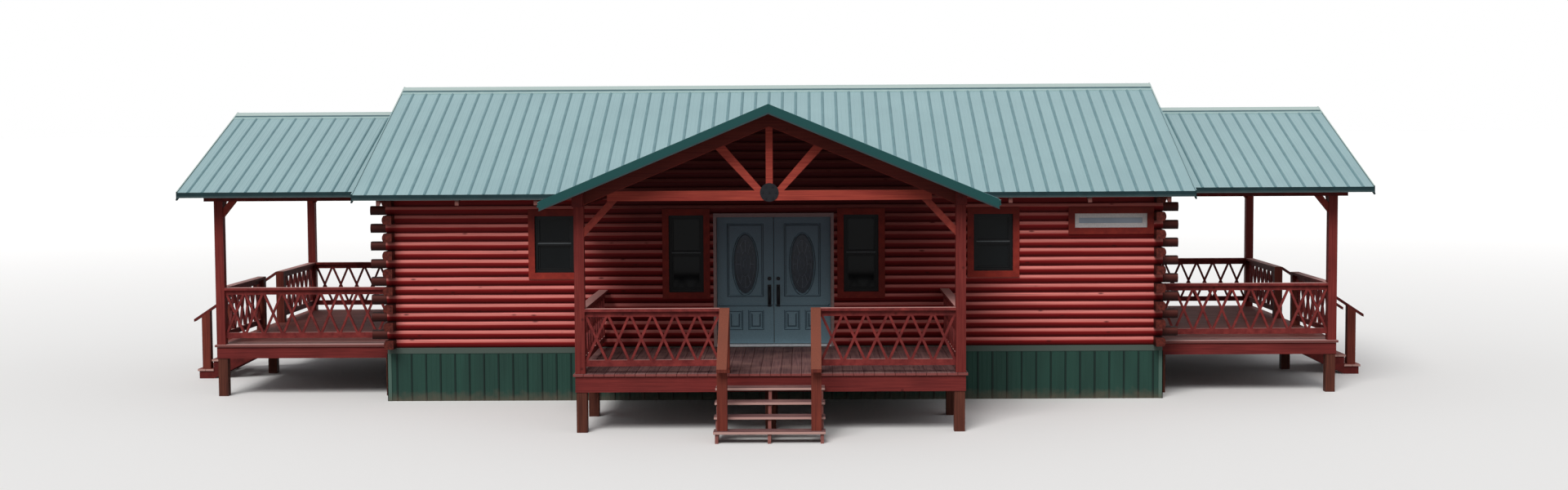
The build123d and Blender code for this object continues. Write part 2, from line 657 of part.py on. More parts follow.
def side_braces():
    """Knee braces of the right porch's front post, to its plate beam and to the tie beam."""
    corner_x = SIDE_POST_X - POST / 2
    points = brace_points(SIDE_BRACE_RUN, SIDE_BRACE_RISE)
    along = prism_y([(corner_x - u, SIDE_BEAM_BOTTOM + v) for u, v in points],
                    (SIDE_POST_Y - BRACE_THICKNESS / 2, SIDE_POST_Y + BRACE_THICKNESS / 2))
    corner_y = SIDE_POST_Y + POST / 2
    across = prism_x([(corner_y + u, SIDE_BEAM_BOTTOM + v) for u, v in points],
                     (SIDE_POST_X - BRACE_THICKNESS / 2, SIDE_POST_X + BRACE_THICKNESS / 2))
    return [along, across]


def knee_braces():
    braces = both_ends(front_brace())
    for brace in side_braces():
        braces += both_ends(brace) + both_ends(mirror_depth(brace))
    return braces


def mirrored_pair(points, y):
    """The same polygon of (x, z) points on both sides of the middle, swept along Y."""
    return [prism_y(points, y), prism_y([(-x, z) for x, z in points], y)]


def truss(reach, tie_half, tie_bottom, apex, pitch):
    """King-post truss in the XZ plane, centred on Y 0, that reaches out to the plate beams."""
    y = (-TRUSS_THICKNESS / 2, TRUSS_THICKNESS / 2)
    under = apex - ROOF_THICKNESS
    chord = [(0, under), (reach, under - reach * pitch), (reach, under - reach * pitch - TOP_CHORD_DEPTH),
             (0, under - TOP_CHORD_DEPTH)]
    tie_top = tie_bottom + TIE_DEPTH
    tie = block((-tie_half, tie_half), y, (tie_bottom, tie_top))
    king = block((-KING_POST_WIDTH / 2, KING_POST_WIDTH / 2), y, (tie_top, under - TOP_CHORD_DEPTH))
    foot_x, head_x = reach * STRUT_FOOT_RATIO, reach * STRUT_HEAD_RATIO
    head = under - TOP_CHORD_DEPTH - head_x * pitch
    rise = head - tie_top
    across = STRUT_WIDTH / 2 * (rise ** 2 + (head_x - foot_x) ** 2) ** 0.5 / rise
    strut = [(foot_x - across, tie_top), (foot_x + across, tie_top),
             (head_x + across, head - across * pitch), (head_x - across, head + across * pitch)]
    whole = Part() + [tie, king] + mirrored_pair(chord, y) + mirrored_pair(strut, y)
    flat = RIDGE_BOARD / 2
    foot, crown = under - reach * pitch, under - flat * pitch
    return whole & prism_y([(-reach, 0), (-reach, foot), (-flat, crown), (flat, crown), (reach, foot),
                            (reach, 0)], y)


def front_truss():
    reach = FRONT_POST_X - BEAM_WIDTH / 2
    frame = truss(reach, FRONT_POST_X - FRONT_TIE_SETBACK, FRONT_TIE_BOTTOM, FRONT_APEX_HEIGHT,
                  ROOF_PITCH_RATIO)
    return Pos(0, FRONT_POST_Y, 0) * frame


def right_truss():
    reach = RIDGE_Y - SIDE_POST_Y - BEAM_WIDTH / 2
    frame = truss(reach, reach, SIDE_BEAM_BOTTOM, SIDE_ROOF_RIDGE_HEIGHT, SIDE_PITCH_RATIO)
    return Pos(SIDE_POST_X, RIDGE_Y, 0) * Rot(0, 0, 90) * frame


def truss_plate(tie_bottom):
    """Round plate over the joint of tie, king post and struts, on the truss's outer face."""
    centre = tie_bottom + TIE_DEPTH - PLATE_DROP
    disc = extrude(Plane.XZ * Circle(PLATE_RADIUS), PLATE_THICKNESS)
    return Pos(0, -TRUSS_THICKNESS / 2, centre) * disc


def truss_plates():
    front = Pos(0, FRONT_POST_Y, 0) * truss_plate(FRONT_TIE_BOTTOM)
    side = Pos(SIDE_POST_X, RIDGE_Y, 0) * Rot(0, 0, 90) * truss_plate(SIDE_BEAM_BOTTOM)
    return [front] + both_ends(side)


def rail_panel(length):
    """Rail between two uprights, from X 0: flat cap, top and bottom rail, and a row of crossed bars."""
    cap_bottom = RAIL_HEIGHT - RAIL_CAP_THICKNESS
    top_rail = cap_bottom - TOP_RAIL_HEIGHT
    low_rail = BOTTOM_RAIL_CLEARANCE + BOTTOM_RAIL_HEIGHT
    modules = max(1, round(length / LATTICE_MODULE))
    step = length / modules
    rise = top_rail - low_rail
    across = LATTICE_BAR * (rise ** 2 + step ** 2) ** 0.5 / rise
    outline = Sketch() + Pos(length / 2, top_rail + TOP_RAIL_HEIGHT / 2) * Rectangle(length, TOP_RAIL_HEIGHT)
    outline += Pos(length / 2, low_rail - BOTTOM_RAIL_HEIGHT / 2) * Rectangle(length, BOTTOM_RAIL_HEIGHT)
    bars = []
    for number in range(modules):
        left, right = number * step + across / 2, (number + 1) * step - across / 2
        for foot, head in ((left, right), (right, left)):
            corners = [(foot - across / 2, low_rail), (foot + across / 2, low_rail),
                       (head + across / 2, top_rail), (head - across / 2, top_rail)]
            bars.append(make_face(Polyline(*corners, close=True)))
    outline += bars
    upright = Plane.XZ * outline
    panel = extrude(upright, RAIL_BAR_DEPTH / 2, both=True)
    cap = block((0, length), (-RAIL_CAP_WIDTH / 2, RAIL_CAP_WIDTH / 2), (cap_bottom, RAIL_HEIGHT))
    return Pos(0, 0, DECK_TOP) * (panel + cap)


def front_rails():
    """Two panels beside the front stair and one along each side of the front porch."""
    inner = NEWEL_SPACING / 2 + NEWEL / 2
    outer = FRONT_POST_X - POST / 2
    facing = Pos(inner, FRONT_POST_Y, 0) * rail_panel(outer - inner)
    start = FRONT_POST_Y + POST / 2
    along = Pos(FRONT_POST_X, start, 0) * Rot(0, 0, 90) * rail_panel(-start)
    return both_ends(facing) + both_ends(along)


def end_rail_start():
    """Where the end porch's front rail begins: at the end wall, or at logs that stick out in its way."""
    meets_logs = SIDE_POST_Y - RAIL_CAP_WIDTH / 2 < LOG_THICKNESS
    return HALF_LENGTH + (LOG_OVERHANG if meets_logs else 0)


def right_rails():
    """Front and back panels of the right porch, and the two beside its stair."""
    facing = Pos(end_rail_start(), SIDE_POST_Y, 0) * rail_panel(SIDE_POST_X - POST / 2 - end_rail_start())
    start = SIDE_POST_Y + POST / 2
    stop = RIDGE_Y - NEWEL_SPACING / 2 - NEWEL / 2
    along = Pos(SIDE_POST_X, start, 0) * Rot(0, 0, 90) * rail_panel(stop - start)
    return [facing, along, mirror_depth(facing), mirror_depth(along)]


def stringer():
    """Sawtooth stair side in the (reach, height) plane; reach is counted out from the deck's rim."""
    points = [(0, DECK_TOP - STAIR_RISE - TREAD_THICKNESS)]
    for number in range(1, TREAD_COUNT + 1):
        level = DECK_TOP - number * STAIR_RISE - TREAD_THICKNESS
        points.append((number * STAIR_RUN, level))
        if number < TREAD_COUNT:
            points.append((number * STAIR_RUN, level - STAIR_RISE))
    points += [(TREAD_COUNT * STAIR_RUN, 0), ((TREAD_COUNT - 1) * STAIR_RUN, 0),
               (0, DECK_TOP - STAIR_RISE - TREAD_THICKNESS - STRINGER_HEEL)]
    return prism_x([(-reach, height) for reach, height in points],
                   (-STRINGER_THICKNESS / 2, STRINGER_THICKNESS / 2))


def stair_stringers():
    """Two outer stringers and a middle one, for a flight that runs towards -Y from Y 0."""
    outer = TREAD_LENGTH / 2 - STRINGER_THICKNESS
    return [Pos(x, 0, 0) * stringer() for x in (-outer, 0, outer)]


def tread_back(number):
    """How far out from the rim a tread's back edge lies."""
    return number * STAIR_RUN - STAIR_RUN


def stair_treads():
    treads = []
    for number in range(1, TREAD_COUNT + 1):
        top = DECK_TOP - number * STAIR_RISE
        back = tread_back(number)
        treads.append(block((-TREAD_LENGTH / 2, TREAD_LENGTH / 2), (-back - TREAD_DEPTH, -back),
                            (top - TREAD_THICKNESS, top)))
    return treads


def low_newel_reach():
    return tread_back(TREAD_COUNT) + TREAD_DEPTH - LOW_NEWEL_SETBACK - NEWEL / 2


def stair_reach():
    """How far a stair stands out from its rim: the low ends of its handrails."""
    return low_newel_reach() + NEWEL / 2 + HANDRAIL_END


def under_handrail(reach):
    return HANDRAIL_TOP - HANDRAIL_DEPTH - reach * STAIR_SLOPE


def stair_newels():
    """Posts at the head and foot of both handrails; the lower ones stand on the last tread."""
    x = (NEWEL_SPACING / 2 - NEWEL / 2, NEWEL_SPACING / 2 + NEWEL / 2)
    top = block(x, (0, NEWEL), (DECK_TOP, HANDRAIL_TOP))
    near, far = low_newel_reach() - NEWEL / 2, low_newel_reach() + NEWEL / 2
    foot = DECK_TOP - TREAD_COUNT * STAIR_RISE
    low = prism_x([(-near, foot), (-far, foot), (-far, under_handrail(far)),
                   (-near, under_handrail(near))], x)
    return both_ends(top) + both_ends(low)


def stair_handrails():
    """Flat rails laid to the stair's slope, from the upper newels out over the lower ones."""
    end = stair_reach()
    points = [(0, HANDRAIL_TOP), (-end, under_handrail(end) + HANDRAIL_DEPTH), (-end, under_handrail(end)),
              (0, under_handrail(0))]
    x = (NEWEL_SPACING / 2 - HANDRAIL_WIDTH / 2, NEWEL_SPACING / 2 + HANDRAIL_WIDTH / 2)
    return both_ends(prism_x(points, x))


def at_front(pieces):
    return [Pos(0, -FRONT_DECK_REACH, 0) * piece for piece in pieces]


def at_sides(pieces):
    placed = []
    for piece in pieces:
        placed += both_ends(Pos(SIDE_DECK_END, RIDGE_Y, 0) * Rot(0, 0, 90) * piece)
    return placed


def door_jambs():
    outer = DOOR_FRAME_WIDTH / 2
    jamb = block((outer - JAMB_FACE, outer), (0, LOG_THICKNESS),
                 (WALL_BASE, WALL_BASE + DOOR_FRAME_HEIGHT - DOOR_HEAD_FACE))
    return both_ends(jamb)


def door_head_and_sill():
    outer = DOOR_FRAME_WIDTH / 2
    top = WALL_BASE + DOOR_FRAME_HEIGHT
    head = block((-outer, outer), (0, LOG_THICKNESS), (top - DOOR_HEAD_FACE, top))
    inner = outer - JAMB_FACE
    sill = block((-inner, inner), (0, LOG_THICKNESS), (WALL_BASE, WALL_BASE + THRESHOLD_HEIGHT))
    return [head, sill]


def oval(grow):
    return Ellipse(OVAL_HALF_WIDTH + grow, OVAL_HALF_HEIGHT + grow)


def leaf_centre_x():
    return MEETING_GAP / 2 + LEAF_WIDTH / 2


def right_door():
    """Door leaf with an oval light, its inner face flush with the wall's inner face."""
    x = MEETING_GAP / 2
    leaf = block((x, x + LEAF_WIDTH), (LOG_THICKNESS - LEAF_THICKNESS, LOG_THICKNESS),
                 (LEAF_BOTTOM, LEAF_BOTTOM + LEAF_HEIGHT))
    hole = extrude(Plane.XZ * oval(0), LEAF_THICKNESS, both=True)
    return leaf - Pos(leaf_centre_x(), LOG_THICKNESS, WALL_BASE + OVAL_CENTRE_HEIGHT) * hole


def right_door_glass():
    pane = extrude(Plane.XZ * oval(-GLASS_CLEARANCE), DOOR_GLASS / 2, both=True)
    return Pos(leaf_centre_x(), LOG_THICKNESS - LEAF_THICKNESS / 2, WALL_BASE + OVAL_CENTRE_HEIGHT) * pane


def handle_side():
    """Long plate with a deadbolt rose above a curved grip, standing out towards -Y from Y 0."""
    plate = block((-HANDLE_PLATE_WIDTH / 2, HANDLE_PLATE_WIDTH / 2), (-HANDLE_PLATE, 0),
                  (GRIP_BOTTOM, GRIP_TOP))
    rose = Pos(0, 0, DEADBOLT_HEIGHT) * extrude(Plane.XZ * Circle(DEADBOLT_RADIUS), 2 * HANDLE_PLATE)
    low, high = GRIP_BOTTOM + GRIP_INSET, GRIP_TOP - GRIP_INSET
    start = (0, -HANDLE_PLATE, low)
    path = Wire([Edge.make_three_point_arc(start, (0, -GRIP_REACH, (low + high) / 2),
                                           (0, -HANDLE_PLATE, high))])
    section = Plane(origin=start, x_dir=(1, 0, 0), z_dir=path.tangent_at(0))
    grip = sweep(section * Rectangle(GRIP_WIDTH, GRIP_THICKNESS), path=path)
    return [plate + grip, rose]


def knuckle(low, high, bore):
    """Stretch of the right door's hinge barrel, on the hinge axis."""
    up = (Align.CENTER, Align.CENTER, Align.MIN)
    barrel = Cylinder(HINGE_RADIUS, high - low, align=up)
    if bore:
        barrel -= Cylinder(HINGE_PIN_RADIUS + HINGE_PIN_CLEARANCE, high - low, align=up)
    return Pos(HINGE_X, HINGE_Y, low) * barrel


def hinge_bands():
    """Heights of the three knuckles of each of a leaf's three hinges, as (low, high) pairs."""
    lowest = LEAF_BOTTOM + HINGE_END_DISTANCE
    highest = LEAF_BOTTOM + LEAF_HEIGHT - HINGE_END_DISTANCE - HINGE_HEIGHT
    third = HINGE_HEIGHT / 3
    bands = []
    for low in (lowest, (lowest + highest) / 2, highest):
        middle = (low + third + HINGE_KNUCKLE_GAP, low + 2 * third - HINGE_KNUCKLE_GAP)
        bands.append(((low, low + third), middle, (low + 2 * third, low + HINGE_HEIGHT)))
    return bands


def hinge_plate(x, z):
    return block(x, (LOG_THICKNESS, LOG_THICKNESS + HINGE_PLATE), z)


def right_hinge_halves():
    """Fixed halves of the right leaf's hinges: outer knuckles on one pin, and plates on the jamb."""
    halves = []
    for bottom, middle, top in hinge_bands():
        pin = Cylinder(HINGE_PIN_RADIUS, HINGE_HEIGHT, align=(Align.CENTER, Align.CENTER, Align.MIN))
        half = knuckle(*bottom, False) + knuckle(*top, False) + Pos(HINGE_X, HINGE_Y, bottom[0]) * pin
        for band in (bottom, top):
            half += hinge_plate((HINGE_X, HINGE_X + HINGE_PLATE_WIDTH), band)
        halves.append(half)
    return halves


def right_leaf_hinge_halves():
    """Moving halves: the middle knuckle round the pin, and a plate on the leaf."""
    return [knuckle(*middle, True) + hinge_plate((HINGE_X - HINGE_PLATE_WIDTH, HINGE_X), middle)
            for bottom, middle, top in hinge_bands()]


def right_door_hardware():
    """Handles on both faces of the right leaf, near the meeting edge, and its hinge halves."""
    x = MEETING_GAP / 2 + HANDLE_SETBACK
    outside = [Pos(x, LOG_THICKNESS - LEAF_THICKNESS, WALL_BASE) * piece for piece in handle_side()]
    inside = [Pos(x, LOG_THICKNESS, WALL_BASE) * mirror(piece, about=Plane.XZ) for piece in handle_side()]
    return outside + inside + right_leaf_hinge_halves()


def end_door():
    """Plain fixed door, laid out in a long wall's place."""
    half = END_DOOR_WIDTH / 2
    return block((-half, half), (LOG_THICKNESS - LEAF_THICKNESS - SASH_SETBACK, LOG_THICKNESS - SASH_SETBACK),
                 (WALL_BASE, WALL_BASE + DOOR_FRAME_HEIGHT))


def end_door_casing():
    """Flat boards at both sides and over the end door."""
    half, top = END_DOOR_WIDTH / 2, WALL_BASE + DOOR_FRAME_HEIGHT
    outer = block((-half - CASING_WIDTH, half + CASING_WIDTH), (-CASING_THICKNESS, 0),
                  (WALL_BASE, top + CASING_WIDTH))
    return outer - block((-half, half), (-CASING_THICKNESS, 0), (WALL_BASE, top))


def is_tall(window):
    return window[3] > window[2]


def sash(window):
    """Window frame that fills its hole, with a meeting rail in a tall window."""
    x, sill, width, height = window
    y = (SASH_SETBACK, SASH_SETBACK + SASH_DEPTH)
    inside = (x - width / 2 + SASH_FACE, x + width / 2 - SASH_FACE)
    frame = block((x - width / 2, x + width / 2), y, (sill, sill + height))
    frame -= block(inside, y, (sill + SASH_FACE, sill + height - SASH_FACE))
    if is_tall(window):
        middle = sill + height / 2
        frame += block(inside, y, (middle - SASH_FACE / 2, middle + SASH_FACE / 2))
    return [frame]


def panes(window):
    """Glass in the sash: one pane above and one below a meeting rail, or a single one."""
    x, sill, width, height = window
    middle_y = SASH_SETBACK + SASH_DEPTH / 2
    y = (middle_y - GLASS_THICKNESS / 2, middle_y + GLASS_THICKNESS / 2)
    across = (x - width / 2 + SASH_FACE, x + width / 2 - SASH_FACE)
    low, high = sill + SASH_FACE, sill + height - SASH_FACE
    if not is_tall(window):
        return [block(across, y, (low, high))]
    middle = sill + height / 2
    return [block(across, y, (low, middle - SASH_FACE / 2)), block(across, y, (middle + SASH_FACE / 2, high))]


def casing(window):
    """Flat boards round a window, lying on the logs' crests."""
    x, sill, width, height = window
    y = (-CASING_THICKNESS, 0)
    outer = block((x - width / 2 - CASING_WIDTH, x + width / 2 + CASING_WIDTH), y,
                  (sill - CASING_WIDTH, sill + height + CASING_WIDTH))
    return [outer - block((x - width / 2, x + width / 2), y, (sill, sill + height))]


def on_front(make):
    """Pieces of one kind for the front windows."""
    return [piece for window in tall_windows() + [transom()] for piece in make(window)]


def on_back(make):
    return [mirror_depth(piece) for window in tall_windows() for piece in make(window)]


def on_ends(make):
    pieces = [to_left_end(piece) for window in end_wall_windows() for piece in make(window)]
    return [placed for piece in pieces for placed in both_ends(piece)]


def front_reach():
    """How far the cabin stands out in front of the front wall."""
    return FRONT_DECK_REACH + stair_reach()


def back_reach():
    return BODY_DEPTH + EAVE_OVERHANG + TRIM_SHEET


def cabin():
    """Every sub-part by name, laid out round the front wall."""
    return {
        "front_wall_left": [front_wall_side(-1)],
        "front_wall_right": [front_wall_side(1)],
        "front_wall_over_door": [front_wall_over_door()],
        "front_gable_wall": [front_gable_wall()],
        "left_end_wall": [left_end_wall()],
        "right_end_wall": [mirror_x(left_end_wall())],
        "back_wall": [back_wall()],
        "floor": [floor()],
        "skirting": skirting(),
        "main_roof_front": [main_roof_front()],
        "main_roof_back": [main_roof_back()],
        "front_porch_roof": both_ends(front_roof_slope()),
        "left_porch_roof": [mirror_x(side_roof_slope()), mirror_x(mirror_depth(side_roof_slope()))],
        "right_porch_roof": [side_roof_slope(), mirror_depth(side_roof_slope())],
        "ridge_boards": ridge_boards(),
        "main_roof_trim": main_roof_trim(),
        "porch_roof_trim": front_roof_trim() + [p for t in side_roof_trim() for p in both_ends(t)],
        "front_truss": [front_truss()],
        "left_truss": [mirror_x(right_truss())],
        "right_truss": [right_truss()],
        "truss_plates": truss_plates(),
        "porch_posts": porch_posts(),
        "porch_beams": porch_beams(),
        "knee_braces": knee_braces(),
        "deck_piles": deck_piles(),
        "deck_frames": deck_frames(),
        "front_deck": [deck_boards(*front_deck_plan(), (DECK_NOSING, DECK_NOSING, DECK_NOSING, 0))],
        "left_deck": [mirror_x(deck_boards(*side_deck_plan(), (0,) + (DECK_NOSING,) * 3))],
        "right_deck": [deck_boards(*side_deck_plan(), (0,) + (DECK_NOSING,) * 3)],
        "front_rails": front_rails(),
        "left_rails": [mirror_x(panel) for panel in right_rails()],
        "right_rails": right_rails(),
        "front_stair_stringers": at_front(stair_stringers()),
        "front_stair_treads": at_front(stair_treads()),
        "front_stair_handrails": at_front(stair_handrails()),
        "side_stair_stringers": at_sides(stair_stringers()),
        "side_stair_treads": at_sides(stair_treads()),
        "side_stair_handrails": at_sides(stair_handrails()),
        "stair_newels": at_front(stair_newels()) + at_sides(stair_newels()),
        "front_windows": on_front(sash),
        "back_windows": on_back(sash),
        "end_windows": on_ends(sash),
        "window_glass": on_front(panes) + on_back(panes) + on_ends(panes),
        "window_casings": on_front(casing) + on_back(casing) + on_ends(casing),
        "end_doors": both_ends(to_left_end(end_door())),
        "end_door_casings": both_ends(to_left_end(end_door_casing())),
        "door_jambs": door_jambs(),
        "door_head_and_sill": door_head_and_sill(),
        "left_door": [mirror_x(right_door())],
        "right_door": [right_door()],
        "left_door_glass": [mirror_x(right_door_glass())],
        "right_door_glass": [right_door_glass()],
        "left_door_hardware": [mirror_x(piece) for piece in right_door_hardware()],
        "right_door_hardware": right_door_hardware(),
        "door_hinges": [p for half in right_hinge_halves() for p in both_ends(half)],
    }


os.makedirs("parts", exist_ok=True)
to_middle = Pos(0, (front_reach() - back_reach()) / 2, 0)
for name, solids in cabin().items():
    placed = [to_middle * solid for solid in solids]
    shape = placed[0] if len(placed) == 1 else Compound(children=placed)
    export_step(shape, f"parts/{name}.step")
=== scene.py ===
"""Log cabin: finishes, sheet-metal ribs, boards, mouldings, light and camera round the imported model."""

from functools import partial
from math import cos, pi, radians, sin

import bmesh
import bpy
from mathutils import Matrix, Vector


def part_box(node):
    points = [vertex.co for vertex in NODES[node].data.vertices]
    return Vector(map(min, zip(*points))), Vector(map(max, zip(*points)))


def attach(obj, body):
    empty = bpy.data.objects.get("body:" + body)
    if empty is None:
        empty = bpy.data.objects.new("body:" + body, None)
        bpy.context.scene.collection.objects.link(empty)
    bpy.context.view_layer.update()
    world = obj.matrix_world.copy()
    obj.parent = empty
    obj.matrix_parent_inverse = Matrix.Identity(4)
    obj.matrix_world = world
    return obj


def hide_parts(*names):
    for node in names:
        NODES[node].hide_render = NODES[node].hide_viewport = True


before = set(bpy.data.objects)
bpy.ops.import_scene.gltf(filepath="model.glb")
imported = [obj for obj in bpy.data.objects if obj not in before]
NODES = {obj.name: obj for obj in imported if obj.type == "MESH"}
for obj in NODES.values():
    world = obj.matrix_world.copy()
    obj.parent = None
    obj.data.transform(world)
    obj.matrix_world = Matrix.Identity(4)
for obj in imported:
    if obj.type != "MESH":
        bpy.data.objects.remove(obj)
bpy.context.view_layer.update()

# Sizes in metres, and roof slopes as rise over run
COURSE = 0.1397
WALL = 0.15
PITCH, SIDE_PITCH = 5 / 12, 0.369
ROOF_DEPTH = 0.087
TRIM_SHEET = 0.020
RIB_STEP = 0.2286 / 3
BOARD, BOARD_GAP, BOARD_DEPTH = 0.140, 0.005, 0.038
CEILING_BOARD, FLOOR_BOARD = 0.14, 0.13
# How far either side of the main roof's ends the trim's edge is pale, where the wide high window starts,
# and how far below the deck a board is a tread
STEP_REACH, HIGH_WINDOW_FROM, TREAD_DROP = 0.05, 4.5, 0.06

# Places read from the model, in metres
WALL_FRONT, WALL_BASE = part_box("front_wall_left")[0].yz
WALL_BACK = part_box("back_wall")[1].y
RIDGE_Y = (WALL_FRONT + WALL_BACK) / 2
BODY_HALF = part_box("skirting")[1].x + 0.004
BODY_DEPTH = WALL_BACK - WALL_FRONT
SKIRT_TOP = WALL_BASE - 0.09
EAVE_Y, EAVE_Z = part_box("main_roof_front")[0].y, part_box("main_roof_front")[0].z + ROOF_DEPTH
ROOF_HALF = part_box("main_roof_front")[1].x
PORCH_FRONT, PORCH_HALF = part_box("front_porch_roof")[0].y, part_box("front_porch_roof")[1].x
VALLEY_Y = EAVE_Y + PORCH_HALF
SIDE_EAVE_Y, SIDE_EAVE_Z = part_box("right_porch_roof")[0].y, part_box("right_porch_roof")[0].z + ROOF_DEPTH
SIDE_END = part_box("right_porch_roof")[1].x
SIDE_RIDGE_Z = SIDE_EAVE_Z + (RIDGE_Y - SIDE_EAVE_Y) * SIDE_PITCH
CHORD_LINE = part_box("front_porch_roof")[1].z - ROOF_DEPTH - 0.21
DECK_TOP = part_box("front_deck")[1].z
SIDE_DECK_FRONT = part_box("left_deck")[0].y


# ---------------- shapes

def block(bm, corner, opposite, soften=0.0):
    """Box between two opposite corners, its edges eased where soften is given."""
    size = [abs(b - a) for a, b in zip(corner, opposite)]
    middle = (Vector(corner) + Vector(opposite)) / 2
    made = bmesh.ops.create_cube(bm, size=1.0, matrix=Matrix.Translation(middle) @ Matrix.Diagonal((*size, 1)))
    if soften:
        bm.edges.index_update()
        edges = sorted({edge for vert in made["verts"] for edge in vert.link_edges},
                       key=lambda edge: edge.index)
        bmesh.ops.bevel(bm, geom=edges, offset=soften, offset_type="OFFSET", segments=1, profile=0.5,
                        affect="EDGES", material=-1)


def run(bm, outline, along, finish=0):
    """Outline of a few points, pulled out along a vector into a closed length in one of the finishes."""
    face = bm.faces.new([bm.verts.new(point) for point in outline])
    pulled = bmesh.ops.extrude_face_region(bm, geom=[face], use_keep_orig=True)["geom"]
    verts = [item for item in pulled if isinstance(item, bmesh.types.BMVert)]
    bmesh.ops.translate(bm, verts=verts, vec=along)
    for near in {face, *(near for vert in verts for near in vert.link_faces)}:
        near.material_index = finish


def finish_piece(name, bm, slot, *finishes, body="cabin", replaces=(), smooth=False):
    """Turn the shape into a named piece at the origin that rides on a body."""
    bmesh.ops.recalc_face_normals(bm, faces=bm.faces[:])
    mesh = bpy.data.meshes.new(name)
    bm.to_mesh(mesh)
    bm.free()
    for finish in finishes:
        mesh.materials.append(finish)
    for polygon in mesh.polygons:
        polygon.use_smooth = smooth
    piece = bpy.data.objects.new(name, mesh)
    bpy.context.scene.collection.objects.link(piece)
    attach(piece, body)
    if replaces:
        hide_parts(*replaces)


# ---------------- finishes

# Most of a noise's values lie between these
NOISE_LOW, NOISE_HIGH = 0.3, 0.7


def linear(hex_text):
    """sRGB hex to linear colour."""
    parts = [int(hex_text[at:at + 2], 16) / 255 for at in (0, 2, 4)]
    return (*[c / 12.92 if c <= 0.04045 else ((c + 0.055) / 1.055) ** 2.4 for c in parts], 1.0)


def feed(node, sockets):
    """Set a node's sockets: another node or one of its outputs is linked, and text is a colour in hex."""
    for socket, value in sockets.items():
        if isinstance(value, bpy.types.Node):
            value = value.outputs[2 if value.bl_idname == "ShaderNodeMix" else 0]
        if isinstance(value, bpy.types.NodeSocket):
            node.id_data.links.new(value, node.inputs[socket])
        else:
            node.inputs[socket].default_value = linear(value) if isinstance(value, str) else value


def add_node(tree, kind, *values, stops=(), **given):
    """One node. Values go to its sockets in order, or to a Mix node's factor and two colours. Of what is
    given by name, settings are in small letters and the rest are sockets. Stops are a ramp's."""
    node = tree.nodes.new("ShaderNode" + kind)
    order = range(len(values))
    if kind == "Mix":
        node.data_type, order = "RGBA", (0, 6, 7)
    for name, value in given.items():
        if name.islower():
            setattr(node, name, value)
    feed(node, dict(zip(order, values)))
    feed(node, {name: value for name, value in given.items() if not name.islower()})
    if stops:
        ramp = node.color_ramp.elements
        while len(ramp) < len(stops):
            ramp.new(1.0)
        for element, (position, colour) in zip(ramp, stops):
            element.position = position
            element.color = linear(colour)
    return node


def new_finish(name, **values):
    """Material with one Principled shader, values set on its own sockets; with it come the function that
    adds nodes to it, the shader, and the place on the object that its patterns follow."""
    material = bpy.data.materials.new(name)
    material.use_nodes = True
    material.node_tree.nodes.clear()
    add = partial(add_node, material.node_tree)
    shader = add("BsdfPrincipled", **values)
    add("OutputMaterial", Surface=shader)
    return material, add, shader, add("TexCoord").outputs["Object"]


def face_normal(add):
    """The three parts of the direction that a face looks in."""
    return add("SeparateXYZ", add("NewGeometry").outputs["Normal"]).outputs


def beyond(add, coordinate, centre, reach):
    """1 where a coordinate is further than the reach from the centre, otherwise 0."""
    away = add("Math", add("Math", coordinate, centre, operation="SUBTRACT"), operation="ABSOLUTE")
    return add("Math", away, reach, operation="GREATER_THAN")


def drawn_out_noise(add, place, waves, **values):
    """Noise with its own number of waves in a metre along X, Y and Z, as grain and streaks have."""
    return add("TexNoise", Vector=add("Mapping", Vector=place, Scale=waves), Scale=1.0, **values)


def two_tone(dark, light):
    """A ramp's stops that turn a noise into two colours."""
    return [(NOISE_LOW, dark), (NOISE_HIGH, light)]


def toned(add, colour, pattern, darkest, palest, low=NOISE_LOW, high=NOISE_HIGH):
    """The colour, made darker and paler by a pattern whose values go from low to high."""
    return add("Mix", 1.0, colour, add("MapRange", pattern, low, high, darkest, palest), blend_type="MULTIPLY")


